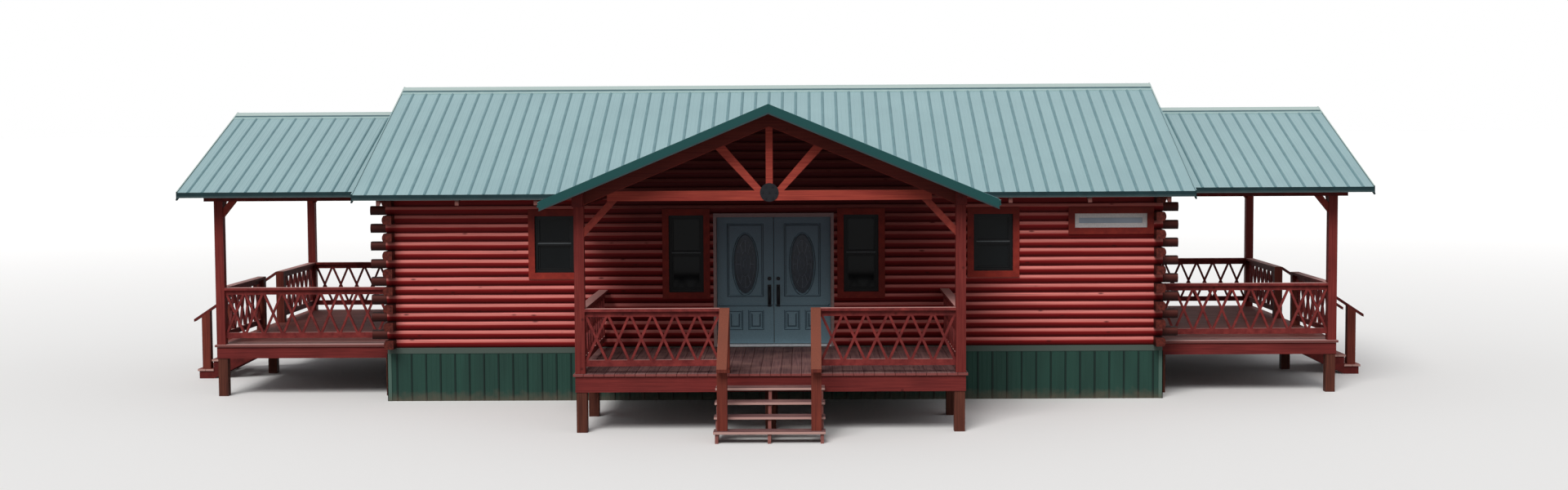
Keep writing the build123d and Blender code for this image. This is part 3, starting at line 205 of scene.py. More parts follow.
def stained_pine_logs(name, along):
    """Milled pine logs under a red penetrating stain: grain and knots show through, the upper curve of each log
    is painted pink as a highlight, the grooves are painted almost black as dark joints and painted shade,
    painted shade darkens the coat under the eaves and porch roofs, and sawn ends are dark."""
    material, add, shader, place = new_finish(name, Roughness=0.6, IOR=1.25)
    xyz = add("SeparateXYZ", place).outputs
    courses = add("Math", add("Math", xyz[2], WALL_BASE, operation="SUBTRACT"), COURSE, operation="DIVIDE")
    level = add("Math", courses, operation="FRACT")
    wobble = drawn_out_noise(add, place, (0.9, 0.9, 5.0), Detail=2.0)
    uneven = add("Math", level, add("MapRange", wobble, 0.0, 1.0, -0.04, 0.04), operation="ADD")
    # Painted highlight and shade on each course: the upper curve painted pink, the grooves almost black as dark
    # joints and painted shade
    band = add("ValToRGB", uneven, stops=[
        (0.0, "200303"), (0.07, "540B0C"), (0.44, "780E11"), (0.56, "92201F"), (0.61, "CA6A62"),
        (0.88, "D67F77"), (0.94, "8C2624"), (1.0, "200303")])
    # Inside faces get an even coat
    length, depth = (xyz[0], 0.0, BODY_HALF), (xyz[1], RIDGE_Y, BODY_DEPTH / 2)
    if along == "Y":
        length, depth = depth, length
    outside = beyond(add, depth[0], depth[1], depth[2] - WALL * 0.9)
    inner = add("ValToRGB", level, stops=[
        (0.0, "300A07"), (0.04, "6E2A1E"), (0.96, "74301F"), (1.0, "300A07")])
    faced = add("Mix", outside, inner, band)
    # Painted shade: towards the eaves of the end walls, and on the front wall under the porch, the coat is
    # painted darker as it rises
    painted_shade_share = add("MapRange", xyz[2], 1.9, 3.2, 0.12, 0.78)
    if along == "X":
        off = add("Math", xyz[0], operation="ABSOLUTE")
        near = add("MapRange", off, PORCH_HALF - 1.0, PORCH_HALF, 1.0, 0.0)
        front = add("Math", xyz[1], RIDGE_Y, operation="LESS_THAN")
        painted_shade_share = add("Math", painted_shade_share, add("Math", near, front, operation="MULTIPLY"), operation="MULTIPLY")
    faced = add("Mix", add("Math", painted_shade_share, outside, operation="MULTIPLY"), faced, "32080C")
    # Painted shade: the corner ends, under the end porch roofs, are painted dark brown
    corner = beyond(add, length[0], length[1], length[2] - 0.01)
    sheltered = add("ValToRGB", uneven, stops=[
        (0.0, "160504"), (0.4, "38120E"), (0.8, "54241C"), (1.0, "1E0806")])
    coat = add("Mix", corner, faced, sheltered)
    # Grain: 3 mm real lines, drawn about 20 mm deep and a metre long so that they show
    waves, spread = (0.9, 45.0, 45.0), (2.3, 3.0, 1 / COURSE)
    if along == "Y":
        waves, spread = (45.0, 0.9, 45.0), (3.0, 2.3, 1 / COURSE)
    grain = drawn_out_noise(add, place, waves, Detail=5.0, Roughness=0.6)
    coat = toned(add, coat, grain, 0.72, 1.22)
    # Knots: about 40 mm long, one in every half metre of log or so
    knot = add("TexVoronoi", Vector=add("Mapping", Vector=place, Scale=spread), Scale=1.0)
    coat = add("Mix", add("MapRange", knot, 0.05, 0.13, 0.75, 0.0), coat, "360807")
    # Sawn ends
    facing = add("Math", face_normal(add)[0 if along == "X" else 1], operation="ABSOLUTE")
    is_end = add("Math", facing, 0.9, operation="GREATER_THAN")
    speckle = add("TexNoise", Vector=place, Scale=24.0, Detail=3.0)
    sawn = add("ValToRGB", speckle, stops=two_tone("3A120E", "6A2C22"))
    feed(shader, {"Base Color": add("Mix", is_end, coat, sawn),
                  "Normal": add("Bump", Strength=0.35, Distance=0.004, Height=grain)})
    return material


def stained_timber(name, along, light, dark, worn, painted_shade_above=None, painted_porch_shade=None):
    """Sawn pine under the same red stain: long grain, and top faces worn paler by weather and hands. Above the
    given line, which falls off both ways with the roof, the coat is painted dark as shade, and where a colour
    for it is given, painted shade darkens the front wall under the porch and towards the eaves."""
    material, add, shader, place = new_finish(name, Roughness=0.62, IOR=1.25)
    xyz = add("SeparateXYZ", place).outputs
    # Grain lines drawn about 15 mm wide so that they show
    waves = {"X": (1.5, 60.0, 60.0), "Y": (60.0, 1.5, 60.0), "Z": (60.0, 60.0, 1.5), "all": (9.0, 9.0, 9.0)}
    grain = drawn_out_noise(add, place, waves[along], Detail=5.0, Roughness=0.6)
    cloud = add("TexNoise", Vector=place, Scale=1.7, Detail=2.0)
    coat = toned(add, add("ValToRGB", grain, stops=two_tone(dark, light)), cloud, 0.85, 1.15)
    knot = add("TexVoronoi", Vector=place, Scale=3.4)
    coat = add("Mix", add("MapRange", knot, 0.04, 0.1, 0.6, 0.0), coat, "2E0A08")
    coat = add("Mix", add("MapRange", face_normal(add)[2], 0.6, 0.95, 0.0, 0.8), coat, worn)
    # Painted shade above a line under the roof: the truss's top chord
    if painted_shade_above:
        out = add("Math", xyz[0], operation="ABSOLUTE")
        line = add("Math", out, PITCH, xyz[2], operation="MULTIPLY_ADD")
        high = add("MapRange", line, painted_shade_above, painted_shade_above + 0.02, 0.0, 0.72)
        coat = add("Mix", high, coat, "240607")
    # Painted shade on the front under the porch, growing towards the eaves
    if painted_porch_shade:
        away = beyond(add, xyz[0], 0.0, PORCH_HALF - 0.3)
        within = add("Math", away, -0.5, 0.5, operation="MULTIPLY_ADD")
        rise = add("MapRange", xyz[2], 1.9, 2.9, 0.05, 0.6)
        most = add("Math", within, rise, operation="MAXIMUM")
        front = add("Math", xyz[1], RIDGE_Y, operation="LESS_THAN")
        coat = add("Mix", add("Math", most, front, operation="MULTIPLY"), coat, painted_porch_shade)
    feed(shader, {"Base Color": coat, "Normal": add("Bump", Strength=0.3, Distance=0.003, Height=grain)})
    return material


def deck_timber(name, along):
    """Planed deck boards, stain worn grey-brown by feet, each board a little different. The treads' edges
    are worn pale. The end decks are walked on less and have stayed redder, and a strip along their front,
    out past the eaves, is painted paler as sunlight."""
    material, add, shader, place = new_finish(name, Roughness=0.68, IOR=1.25)
    xyz = add("SeparateXYZ", place).outputs
    across, waves = (xyz[1], (1.2, 55.0, 20.0)) if along == "X" else (xyz[0], (55.0, 1.2, 20.0))
    rows = add("Math", across, BOARD + BOARD_GAP, operation="DIVIDE")
    random = add("TexWhiteNoise", W=add("Math", rows, operation="FLOOR"), noise_dimensions="1D")
    grain = drawn_out_noise(add, place, waves, Detail=5.0)
    wood = add("ValToRGB", grain, stops=two_tone("553A3C", "825E5B"))
    coat = toned(add, wood, random, 0.82, 1.18, low=0.0, high=1.0)
    wear = add("TexNoise", Vector=place, Scale=2.2, Detail=4.0)
    coat = add("Mix", add("MapRange", wear, 0.45, 0.7, 0.0, 0.55), coat, "9A746C")
    on_end = beyond(add, xyz[0], 0.0, BODY_HALF)
    coat = add("Mix", add("Math", on_end, 0.6, operation="MULTIPLY"), coat, "85301F")
    # Painted sunlight: the end decks' front strip, out past the eaves, is painted paler
    painted_sunlit_strip = add("MapRange", xyz[1], SIDE_DECK_FRONT + 0.2, SIDE_DECK_FRONT + 0.6, 0.9, 0.0)
    coat = add("Mix", add("Math", painted_sunlit_strip, on_end, operation="MULTIPLY"), coat, "C49A94")
    level = add("Math", face_normal(add)[2], operation="ABSOLUTE")
    is_tread = add("Math", xyz[2], DECK_TOP - TREAD_DROP, operation="LESS_THAN")
    edges = add("Mix", is_tread, add("Mix", on_end, "8A4642", "64241F"), "CCA298")
    coat = add("Mix", add("MapRange", level, 0.3, 0.7, 0.85, 0.0), coat, edges)
    feed(shader, {"Base Color": coat, "Normal": add("Bump", Strength=0.3, Distance=0.003, Height=grain)})
    return material


def roof_sheet(name, boards_across):
    """Roll-formed steel with baked green paint, painted pale teal as a painted reflection of the sky, with a
    chalky mottle; its underside is the porch and room ceiling of stained boards, 140 mm wide."""
    material, add, shader, place = new_finish(name)
    chalk = add("TexNoise", Vector=place, Scale=0.8, Detail=5.0, Roughness=0.6)
    # Painted reflection: the paint's colour is made pale teal to stand for the sky it reflects
    paint = add("ValToRGB", chalk, stops=two_tone("84A4A8", "92B0B3"))
    rows = add("Math", add("SeparateXYZ", place).outputs[boards_across], CEILING_BOARD, operation="DIVIDE")
    ceiling = add("ValToRGB", add("Math", rows, operation="FRACT"), stops=[
        (0.0, "160504"), (0.05, "4A1714"), (0.95, "55201B"), (1.0, "160504")])
    below = add("Math", face_normal(add)[2], -0.3, operation="LESS_THAN")
    gloss = add("MapRange", chalk, NOISE_LOW, NOISE_HIGH, 0.38, 0.5)
    feed(shader, {"Base Color": add("Mix", below, paint, ceiling), "Roughness": gloss})
    return material


def painted_sheet(name, light, dark, upper=None, gable=None):
    """Roll-formed steel with baked paint: even, satin, a little cloudy where dust lies. Upper is the colour of
    faces that look at the sky, painted paler as a highlight; gable the lighter colour of the front porch's
    gable."""
    material, add, shader, place = new_finish(name, Roughness=0.42, IOR=1.3)
    xyz = add("SeparateXYZ", place).outputs
    streaks = drawn_out_noise(add, place, (6.0, 6.0, 0.8), Detail=4.0)
    coat = add("ValToRGB", streaks, stops=two_tone(dark, light))
    if gable:
        coat = add("Mix", add("Math", xyz[1], PORCH_FRONT + 0.001, operation="LESS_THAN"), coat, gable)
    # Painted highlight: faces of the trim that look at the sky are painted paler
    if upper:
        # Where the end porch roofs meet the main roof, the trim's edge has the sheet's own colour
        near, far = (beyond(add, xyz[0], 0.0, ROOF_HALF + reach) for reach in (-STEP_REACH, STEP_REACH))
        band = add("Math", near, far, operation="SUBTRACT")
        low = add("Math", xyz[2], SIDE_RIDGE_Z, operation="LESS_THAN")
        edge = add("Mix", add("Math", band, low, operation="MULTIPLY"), upper, "86A5A8")
        coat = add("Mix", add("Math", face_normal(add)[2], 0.5, operation="GREATER_THAN"), coat, edge)
    feed(shader, {"Base Color": coat})
    return material


def skirting_sheet(name, light, dark):
    """The same painted steel stood upright round the base, with dust splashed up from the ground and a
    greyer flashing along the top."""
    material, add, shader, place = new_finish(name, Roughness=0.55, IOR=1.3)
    height = add("SeparateXYZ", place).outputs[2]
    streaks = drawn_out_noise(add, place, (5.0, 5.0, 0.7), Detail=4.0)
    coat = add("ValToRGB", streaks, stops=two_tone(dark, light))
    splash = add("TexNoise", Vector=place, Scale=7.0, Detail=4.0)
    level = add("Math", height, add("MapRange", splash, 0.0, 1.0, -0.12, 0.12), operation="ADD")
    coat = add("Mix", add("MapRange", level, 0.0, 0.16, 0.55, 0.0), coat, "6E5F50")
    coat = add("Mix", add("Math", height, SKIRT_TOP + 0.001, operation="GREATER_THAN"), coat, "4E5952")
    feed(shader, {"Base Color": coat})
    return material


def mottled(name, light, dark, scale, roughness, bump_depth=0.0, sheltered=None, **values):
    """Cast, moulded or brushed surface with a fine mottle of the given size; where a colour for it is given,
    painted shade darkens it towards the top, as under the porch roof."""
    material, add, shader, place = new_finish(name, Roughness=roughness, **values)
    noise = add("TexNoise", Vector=place, Scale=scale, Detail=4.0)
    coat = add("ValToRGB", noise, stops=two_tone(dark, light))
    # Painted shade, growing towards the top
    if sheltered:
        rise = add("MapRange", add("SeparateXYZ", place).outputs[2], 1.1, 2.7, 0.0, 0.85)
        coat = add("Mix", rise, coat, sheltered)
    feed(shader, {"Base Color": coat})
    if bump_depth:
        feed(shader, {"Normal": add("Bump", Strength=0.4, Distance=bump_depth, Height=noise)})
    return material


def window_finish(name, common, high_window, scale, roughness, ior):
    """Clean moulded or drawn surface of the windows, in two tones; the wide high window on the front wall
    has paler vinyl and obscured glass."""
    material, add, shader, place = new_finish(name, Roughness=roughness, IOR=ior)
    xyz = add("SeparateXYZ", place).outputs
    right = add("Math", xyz[0], HIGH_WINDOW_FROM, operation="GREATER_THAN")
    front = add("Math", xyz[1], WALL_FRONT + WALL, operation="LESS_THAN")
    noise = add("TexNoise", Vector=place, Scale=scale, Detail=3.0)
    plain, pale = (add("ValToRGB", noise, stops=two_tone(*pair)) for pair in (common, high_window))
    is_high = add("Math", right, front, operation="MULTIPLY")
    feed(shader, {"Base Color": add("Mix", is_high, plain, pale)})
    return material


def floor_boards(name):
    """Planed pine floor, boards 130 mm wide along the room."""
    material, add, shader, place = new_finish(name, Roughness=0.6, IOR=1.25)
    rows = add("Math", add("SeparateXYZ", place).outputs[1], FLOOR_BOARD, operation="DIVIDE")
    board = add("ValToRGB", add("Math", rows, operation="FRACT"), stops=[
        (0.0, "2E1C10"), (0.03, "9A7348"), (0.97, "A98154"), (1.0, "2E1C10")])
    grain = drawn_out_noise(add, place, (1.5, 50.0, 20.0), Detail=4.0)
    feed(shader, {"Base Color": toned(add, board, grain, 0.75, 1.15)})
    return material


LONG_LOGS = stained_pine_logs("stained_pine_logs_long", "X")
END_LOGS = stained_pine_logs("stained_pine_logs_end", "Y")
BEAMS = stained_timber("stained_pine_beams", "all", "6E2622", "4A1716", "8A4A44")
BRACES = stained_timber("stained_pine_knee_braces", "all", "9E4236", "782C26", "A0584C")
# The truss's top chord is painted dark as shade under the porch roof
TRUSS = stained_timber("stained_pine_truss", "X", "B04A3A", "8A302A", "B05A4C", painted_shade_above=CHORD_LINE)
POSTS = stained_timber("stained_pine_posts", "Z", "82342E", "5E1C1B", "94544E")
RAILS = stained_timber("stained_pine_rails", "all", "8C3834", "5E2020", "DCA49C")
STRINGERS = stained_timber("weathered_stair_stringers", "all", "A06860", "7E4A44", "A8706A")
NEWELS = stained_timber("stained_pine_newels", "Z", "7E3A2C", "54211C", "8E5846")
FRAMES = stained_timber("stained_pine_deck_frames", "X", "7E302C", "5A1D1D", "94544E")
# The window boards are painted darker as shade under the porch and towards the eaves
TRIMS = stained_timber("stained_pine_window_boards", "all", "A83A2C", "862A24", "B05444", painted_porch_shade="3A0F0E")
RAFTER_ENDS = stained_timber("weathered_rafter_ends", "Y", "8A5A52", "6A423E", "8A5A52")
PILES = stained_timber("rough_sawn_piles", "Z", "6A3A2C", "3E1E18", "7A5040")
FRONT_BOARDS = deck_timber("planed_deck_boards_front", "Y")
SIDE_BOARDS = deck_timber("planed_deck_boards_side", "X")
FLOOR = floor_boards("planed_pine_floor_boards")
ROOF_LONG = roof_sheet("roll_formed_painted_steel_roof", 1)
ROOF_FRONT = roof_sheet("roll_formed_painted_steel_porch_roof", 0)
# Painted shade: the tall roof ribs are painted darker all over
RIB_SHADE = painted_sheet("roll_formed_steel_ribs_painted_shade", "6E9196", "61848A")
ROOF_TRIM = painted_sheet("folded_painted_steel_trim", "143236", "0D262A", upper="AFC0BB", gable="194A49")
TRIM_LIP = painted_sheet("folded_painted_steel_trim_lip", "324648", "2A3C3E")
# Painted shade: the ridge caps' hems are painted dark
CAP_HEM = painted_sheet("cap_hems_painted_shade", "47696E", "3C5B60")
CAP_FLANGE = painted_sheet("folded_painted_steel_cap_flange", "9FB9B6", "94AFAE")
SKIRT = skirting_sheet("roll_formed_painted_steel_skirting", "28493F", "213D35")
# Painted shade: the tall skirting ribs are painted darker all over
SKIRT_SHADE = skirting_sheet("skirting_ribs_painted_shade", "1A2E29", "152622")
SKIRT_CORNER = skirting_sheet("folded_painted_steel_corner_trim", "5A7368", "4C655B")
# The door paints and the door frame are painted darker towards the top as shade under the porch roofs
DOOR_PAINT = mottled("rolled_enamel_door_paint", "90B2BF", "84A5B1", 60.0, 0.5, 0.0004, "465260", IOR=1.35)
# Painted shade: the sides of the door mouldings that don't look up are painted darker
DOOR_SHADE = mottled("door_paint_painted_shade_in_quirks", "546E7A", "48606B", 60.0, 0.55, 0.0, "262C34", IOR=1.35)
DOOR_FRAME = mottled("primed_steel_door_frame", "B0908A", "9A7C76", 20.0, 0.5, 0.0, "5A3A3E")
ALUMINIUM = mottled("mill_finish_aluminium_threshold", "D4D8DB", "C2C7CB", 30.0, 0.45, Metallic=1.0)
DARK_METAL = mottled("powder_coated_iron", "1A1B20", "101115", 90.0, 0.5, 0.0003, IOR=1.3)
VINYL_GREY = mottled("grey_weather_strip", "5C6264", "4E5355", 40.0, 0.6, IOR=1.3)
LEAD = mottled("patinated_lead_came", "626C7A", "424A56", 25.0, 0.45)
LEADED_GLASS = mottled("textured_dark_door_glass", "2E3A48", "1C2530", 14.0, 0.25, 0.0008, IOR=1.3)
VINYL = window_finish("extruded_black_vinyl", ("0B0C0D", "121315"), ("D8D4D2", "E8E4E2"), 40.0, 0.5, 1.25)
GLASS = window_finish("float_glass_over_dark_room", ("0D1012", "14181A"), ("A4B0BE", "BCC8D4"), 1.5, 0.08, 1.2)

FINISH = {name: finish for finish, names in (
    (LONG_LOGS, "front_wall_left front_wall_right front_wall_over_door front_gable_wall back_wall"),
    (END_LOGS, "left_end_wall right_end_wall"),
    (FLOOR, "floor"),
    (SKIRT, "skirting"),
    (ROOF_LONG, "main_roof_front main_roof_back left_porch_roof right_porch_roof"),
    (ROOF_FRONT, "front_porch_roof"),
    (ROOF_TRIM, "main_roof_trim porch_roof_trim"),
    (TRUSS, "front_truss"),
    # The side stairs' handrails and stringers take the darker beam stain as painted shade
    (BEAMS, "ridge_boards left_truss right_truss porch_beams side_stair_handrails side_stair_stringers"),
    (BRACES, "knee_braces"),
    (POSTS, "porch_posts"),
    (FRAMES, "deck_frames"),
    (NEWELS, "stair_newels front_stair_handrails"),
    (RAILS, "front_rails left_rails right_rails"),
    (TRIMS, "window_casings end_door_casings"),
    (STRINGERS, "front_stair_stringers"),
    (FRONT_BOARDS, "front_deck side_stair_treads"),
    (SIDE_BOARDS, "left_deck right_deck front_stair_treads"),
    (PILES, "deck_piles"),
    (DARK_METAL, "truss_plates door_hinges left_door_hardware right_door_hardware"),
    (VINYL, "front_windows back_windows end_windows"),
    (GLASS, "window_glass"),
    (DOOR_PAINT, "left_door right_door end_doors"),
    (LEADED_GLASS, "left_door_glass right_door_glass"),
    (DOOR_FRAME, "door_jambs door_head_and_sill"),
) for name in names.split()}
for node_name, node in NODES.items():
    node.data.materials.clear()
    node.data.materials.append(FINISH[node_name])


# ---------------- roof ribs and ridge caps

# A rib's width at its base and at its top, and its height
TALL_RIB, MINOR_RIB = (0.050, 0.016, 0.018), (0.030, 0.012, 0.003)
RIB_OVERHANG, VALLEY_CLEAR, SHORTEST_RIB, FIRST_SIDE_RIB = 0.018, 0.03, 0.05, 0.10
# How far from the ridge the cap's wing, its hem and its flange end
CAP_WING, CAP_HEM_END, CAP_END = 0.170, 0.230, 0.300


def main_z(y):
    return EAVE_Z + (y - EAVE_Y) * PITCH


def porch_z(x):
    return EAVE_Z + (PORCH_HALF - abs(x)) * PITCH


def side_z(y):
    return SIDE_EAVE_Z + (y - SIDE_EAVE_Y) * SIDE_PITCH


def mirrored(y):
    """The same place on the back half of the cabin."""
    return 2 * RIDGE_Y - y


def slope_rib(bm, foot, head, across, is_tall):
    """Trapezoid rib from a slope's foot to its head; across is the unit vector over the rib. Tall ribs have
    a piece's second finish, which is painted shade."""
    base, top, height = TALL_RIB if is_tall else MINOR_RIB
    foot, side, up = Vector(foot), Vector(across), Vector((0, 0, height))
    outline = [foot - side * base / 2, foot - side * top / 2 + up, foot + side * top / 2 + up,
               foot + side * base / 2]
    run(bm, outline, Vector(head) - foot, finish=int(is_tall))


def make_main_ribs():
    """The tall ribs stand half a spacing from the middle, and those in front stop at the valleys."""
    front, back = bmesh.new(), bmesh.new()
    eave, head = EAVE_Y - RIB_OVERHANG, RIDGE_Y - CAP_END
    count = int((ROOF_HALF - TALL_RIB[0]) / RIB_STEP - 1.5)
    for number in range(-count - 3, count + 1):
        x, is_tall = (number + 1.5) * RIB_STEP, number % 3 == 0
        in_valley = abs(x) < PORCH_HALF + TRIM_SHEET
        foot = max(eave, VALLEY_Y - abs(x) + VALLEY_CLEAR) if in_valley else eave
        if foot < head:
            slope_rib(front, (x, foot, main_z(foot)), (x, head, main_z(head)), (1, 0, 0), is_tall)
        slope_rib(back, (x, mirrored(eave), main_z(eave)), (x, mirrored(head), main_z(head)),
                  (1, 0, 0), is_tall)
    finish_piece("main_roof_front_ribs", front, "roof_metal", ROOF_LONG, RIB_SHADE)
    finish_piece("main_roof_back_ribs", back, "roof_metal", ROOF_LONG, RIB_SHADE)


def make_front_porch_ribs():
    bm = bmesh.new()
    for number in range(1, int((VALLEY_Y - PORCH_FRONT - CAP_END) / RIB_STEP)):
        y = PORCH_FRONT + number * RIB_STEP - TRIM_SHEET
        over_eave = y < EAVE_Y - VALLEY_CLEAR
        foot = PORCH_HALF + RIB_OVERHANG if over_eave else VALLEY_Y - y - VALLEY_CLEAR
        if foot > CAP_END + SHORTEST_RIB:
            for side in (-1, 1):
                slope_rib(bm, (side * foot, y, porch_z(foot)), (side * CAP_END, y, porch_z(CAP_END)),
                          (0, 1, 0), number % 3 == 0)
    finish_piece("front_porch_roof_ribs", bm, "roof_metal", ROOF_FRONT, RIB_SHADE)


def make_side_porch_ribs():
    first = ROOF_HALF + FIRST_SIDE_RIB
    foot, head = SIDE_EAVE_Y - RIB_OVERHANG, RIDGE_Y - CAP_END
    for side, name in ((-1, "left"), (1, "right")):
        bm = bmesh.new()
        for number in range(int((SIDE_END - first - TALL_RIB[0] / 2) / RIB_STEP) + 1):
            x = side * (first + number * RIB_STEP)
            for foot_y, head_y in ((foot, head), (mirrored(foot), mirrored(head))):
                slope_rib(bm, (x, foot_y, side_z(foot)), (x, head_y, side_z(head)), (1, 0, 0), number % 3 == 2)
        finish_piece(f"{name}_porch_roof_ribs", bm, "roof_metal", ROOF_LONG, RIB_SHADE)


def make_cap_flanges():
    """Lower parts of the ridge caps: a hem folded down beside the cap, painted dark as shade, and a flange flat
    on the sheet.
    """
    past_trim = ROOF_HALF + 0.024
    for name, finish, near, far, high, low in (
            ("ridge_cap_hems", CAP_HEM, CAP_WING + 0.001, CAP_HEM_END, 0.014, 0.008),
            ("ridge_cap_flanges", CAP_FLANGE, CAP_HEM_END, CAP_END, 0.010, 0.010)):
        bm = bmesh.new()
        section = ((near, 0), (near, high), (far, low), (far, 0))
        for side in (-1, 1):
            for level, x0, x1 in ((main_z, -ROOF_HALF, ROOF_HALF), (side_z, past_trim, SIDE_END),
                                  (side_z, -SIDE_END, -past_trim)):
                run(bm, [(x0, RIDGE_Y + side * reach, level(RIDGE_Y - reach) + lift)
                         for reach, lift in section], (x1 - x0, 0, 0))
            run(bm, [(side * reach, PORCH_FRONT, porch_z(reach) + lift) for reach, lift in section],
                (0, VALLEY_Y - far - PORCH_FRONT, 0))
        finish_piece(name, bm, "roof_trim", finish)


make_main_ribs()
make_front_porch_ribs()
make_side_porch_ribs()
make_cap_flanges()


# ---------------- folded lower edges of the trims

LIP, LIP_PROUD = 0.022, 0.007
RAKE_DEPTH, RAKE_PROUD, FASCIA = 0.140, 0.014, 0.075


def sloping_lip(bm, foot, head, out):
    up = Vector((0, 0, LIP))
    run(bm, [foot, foot + out, foot + out + up, foot + up], head - foot)


def make_trim_lips():
    eaves, gables = bmesh.new(), bmesh.new()
    bottom, side_bottom, down = EAVE_Z - FASCIA, SIDE_EAVE_Z - FASCIA, RAKE_PROUD - RAKE_DEPTH
    edge, front, eave = PORCH_HALF + TRIM_SHEET, PORCH_FRONT - TRIM_SHEET, EAVE_Y - TRIM_SHEET
    for side in (-1, 1):
        # Main eaves, front porch eaves, and the end porch eaves in front and behind
        block(eaves, (side * (edge + 0.001), eave, bottom), (side * ROOF_HALF, eave - LIP_PROUD, bottom + LIP))
        block(eaves, (side * edge, PORCH_FRONT, bottom), (side * (edge + LIP_PROUD), eave - 0.01, bottom + LIP))
        for face, out in ((SIDE_EAVE_Y - TRIM_SHEET, -LIP_PROUD),
                          (mirrored(SIDE_EAVE_Y) + TRIM_SHEET, LIP_PROUD)):
            block(eaves, (side * (ROOF_HALF + TRIM_SHEET), face, side_bottom),
                  (side * SIDE_END, face + out, side_bottom + LIP))
        # Gables of the front porch, the main roof and the end porches
        sloping_lip(gables, Vector((side * PORCH_HALF, front, EAVE_Z + down)),
                    Vector((0, front, porch_z(0) + down)), Vector((0, -LIP_PROUD, 0)))
        for plane, eave_y, level in ((ROOF_HALF, EAVE_Y, main_z), (SIDE_END, SIDE_EAVE_Y, side_z)):
            x = side * (plane + TRIM_SHEET)
            for foot_y in (eave_y, mirrored(eave_y)):
                sloping_lip(gables, Vector((x, foot_y, level(eave_y) + down)),
                            Vector((x, RIDGE_Y, level(RIDGE_Y) + down)), Vector((side * LIP_PROUD, 0, 0)))
    finish_piece("eave_trim_lips", eaves, "roof_trim", TRIM_LIP)
    finish_piece("gable_trim_lips", gables, "roof_trim", TRIM_LIP)


RAFTER_SPACING, RAFTER_WIDTH, RAFTER_DROP = 1.2192, 0.06, 0.09


def make_rafter_tails():
    """Rafter ends under the long eaves; in front there are none under the porch roof."""
    bm = bmesh.new()
    inner, outer = WALL_FRONT + 0.01, EAVE_Y + 0.02
    section = [(y, main_z(y) - ROOF_DEPTH - drop - 0.001) for y, drop in (
        (outer, 0), (inner, 0), (inner, RAFTER_DROP), (outer, RAFTER_DROP))]
    for number in range(-5, 6):
        x = number * RAFTER_SPACING
        left = x - RAFTER_WIDTH / 2
        if abs(x) >= PORCH_HALF:
            run(bm, [(left, y, z) for y, z in section], (RAFTER_WIDTH, 0, 0))
        run(bm, [(left, mirrored(y), z) for y, z in section], (RAFTER_WIDTH, 0, 0))
    finish_piece("rafter_tails", bm, "stained_timber", RAFTER_ENDS)


make_trim_lips()
make_rafter_tails()


# ---------------- skirting

SKIRT_FACE = 0.012
SKIRT_RIB, SKIRT_MINOR_RIB = (0.032, 0.012, 0.010), (0.030, 0.012, 0.002)
CORNER_CLEAR = 0.09
CORNER_LEG, CORNER_SHEET = 0.065, 0.0105


def make_skirting_ribs():
    bm = bmesh.new()
    for half, out, on_ends in ((BODY_HALF, BODY_DEPTH / 2, False), (BODY_DEPTH / 2, BODY_HALF, True)):
        count = int((half - CORNER_CLEAR) / RIB_STEP)
        for number in range(-count, count + 1):
            at, is_tall = number * RIB_STEP, number % 3 == 0
            base, top, height = SKIRT_RIB if is_tall else SKIRT_MINOR_RIB
            for side in (-1, 1):
                face = side * (out - SKIRT_FACE)
                proud = face + side * height
                flat = ((at - base / 2, face), (at - top / 2, proud), (at + top / 2, proud),
                        (at + base / 2, face))
                run(bm, [(b, RIDGE_Y + a, 0.002) if on_ends else (a, RIDGE_Y + b, 0.002) for a, b in flat],
                    (0, 0, SKIRT_TOP - 0.003), finish=int(is_tall))
    finish_piece("skirting_ribs", bm, "skirting_metal", SKIRT, SKIRT_SHADE)


def make_skirting_corners():
    bm = bmesh.new()
    for sx, sy in ((-1, -1), (-1, 1), (1, -1), (1, 1)):
        x, y = sx * (BODY_HALF - 0.001), RIDGE_Y + sy * (BODY_DEPTH / 2 - 0.001)
        for wide, deep in ((CORNER_LEG, CORNER_SHEET), (CORNER_SHEET, CORNER_LEG)):
            block(bm, (x, y, 0.001), (x - sx * wide, y - sy * deep, SKIRT_TOP - 0.001))
    finish_piece("skirting_corner_trims", bm, "skirting_metal", SKIRT_CORNER)


make_skirting_ribs()
make_skirting_corners()


# ---------------- decks and treads

RISERS = 5
TREAD_RUN, TREAD_DEPTH, TREAD_LENGTH = 0.25, 0.275, 1.523


def boards(bm, low, high, along):
    """Deck boards that fill a slab's box, with gaps between them, laid along X or Y."""
    across = 0 if along == "Y" else 1
    width = high[across] - low[across]
    count = max(1, round(width / (BOARD + BOARD_GAP)))
    step = (width + BOARD_GAP) / count
    for number in range(count):
        a, b = list(low), list(high)
        a[across] = low[across] + number * step
        b[across] = a[across] + step - BOARD_GAP
        block(bm, a, b, soften=0.003)


def make_deck_boards():
    for node_name, along, finish in (("front_deck", "Y", FRONT_BOARDS), ("left_deck", "X", SIDE_BOARDS),
                                     ("right_deck", "X", SIDE_BOARDS)):
        bm = bmesh.new()
        boards(bm, *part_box(node_name), along)
        finish_piece(f"{node_name}_boards", bm, "deck_boards", finish, replaces=(node_name,))


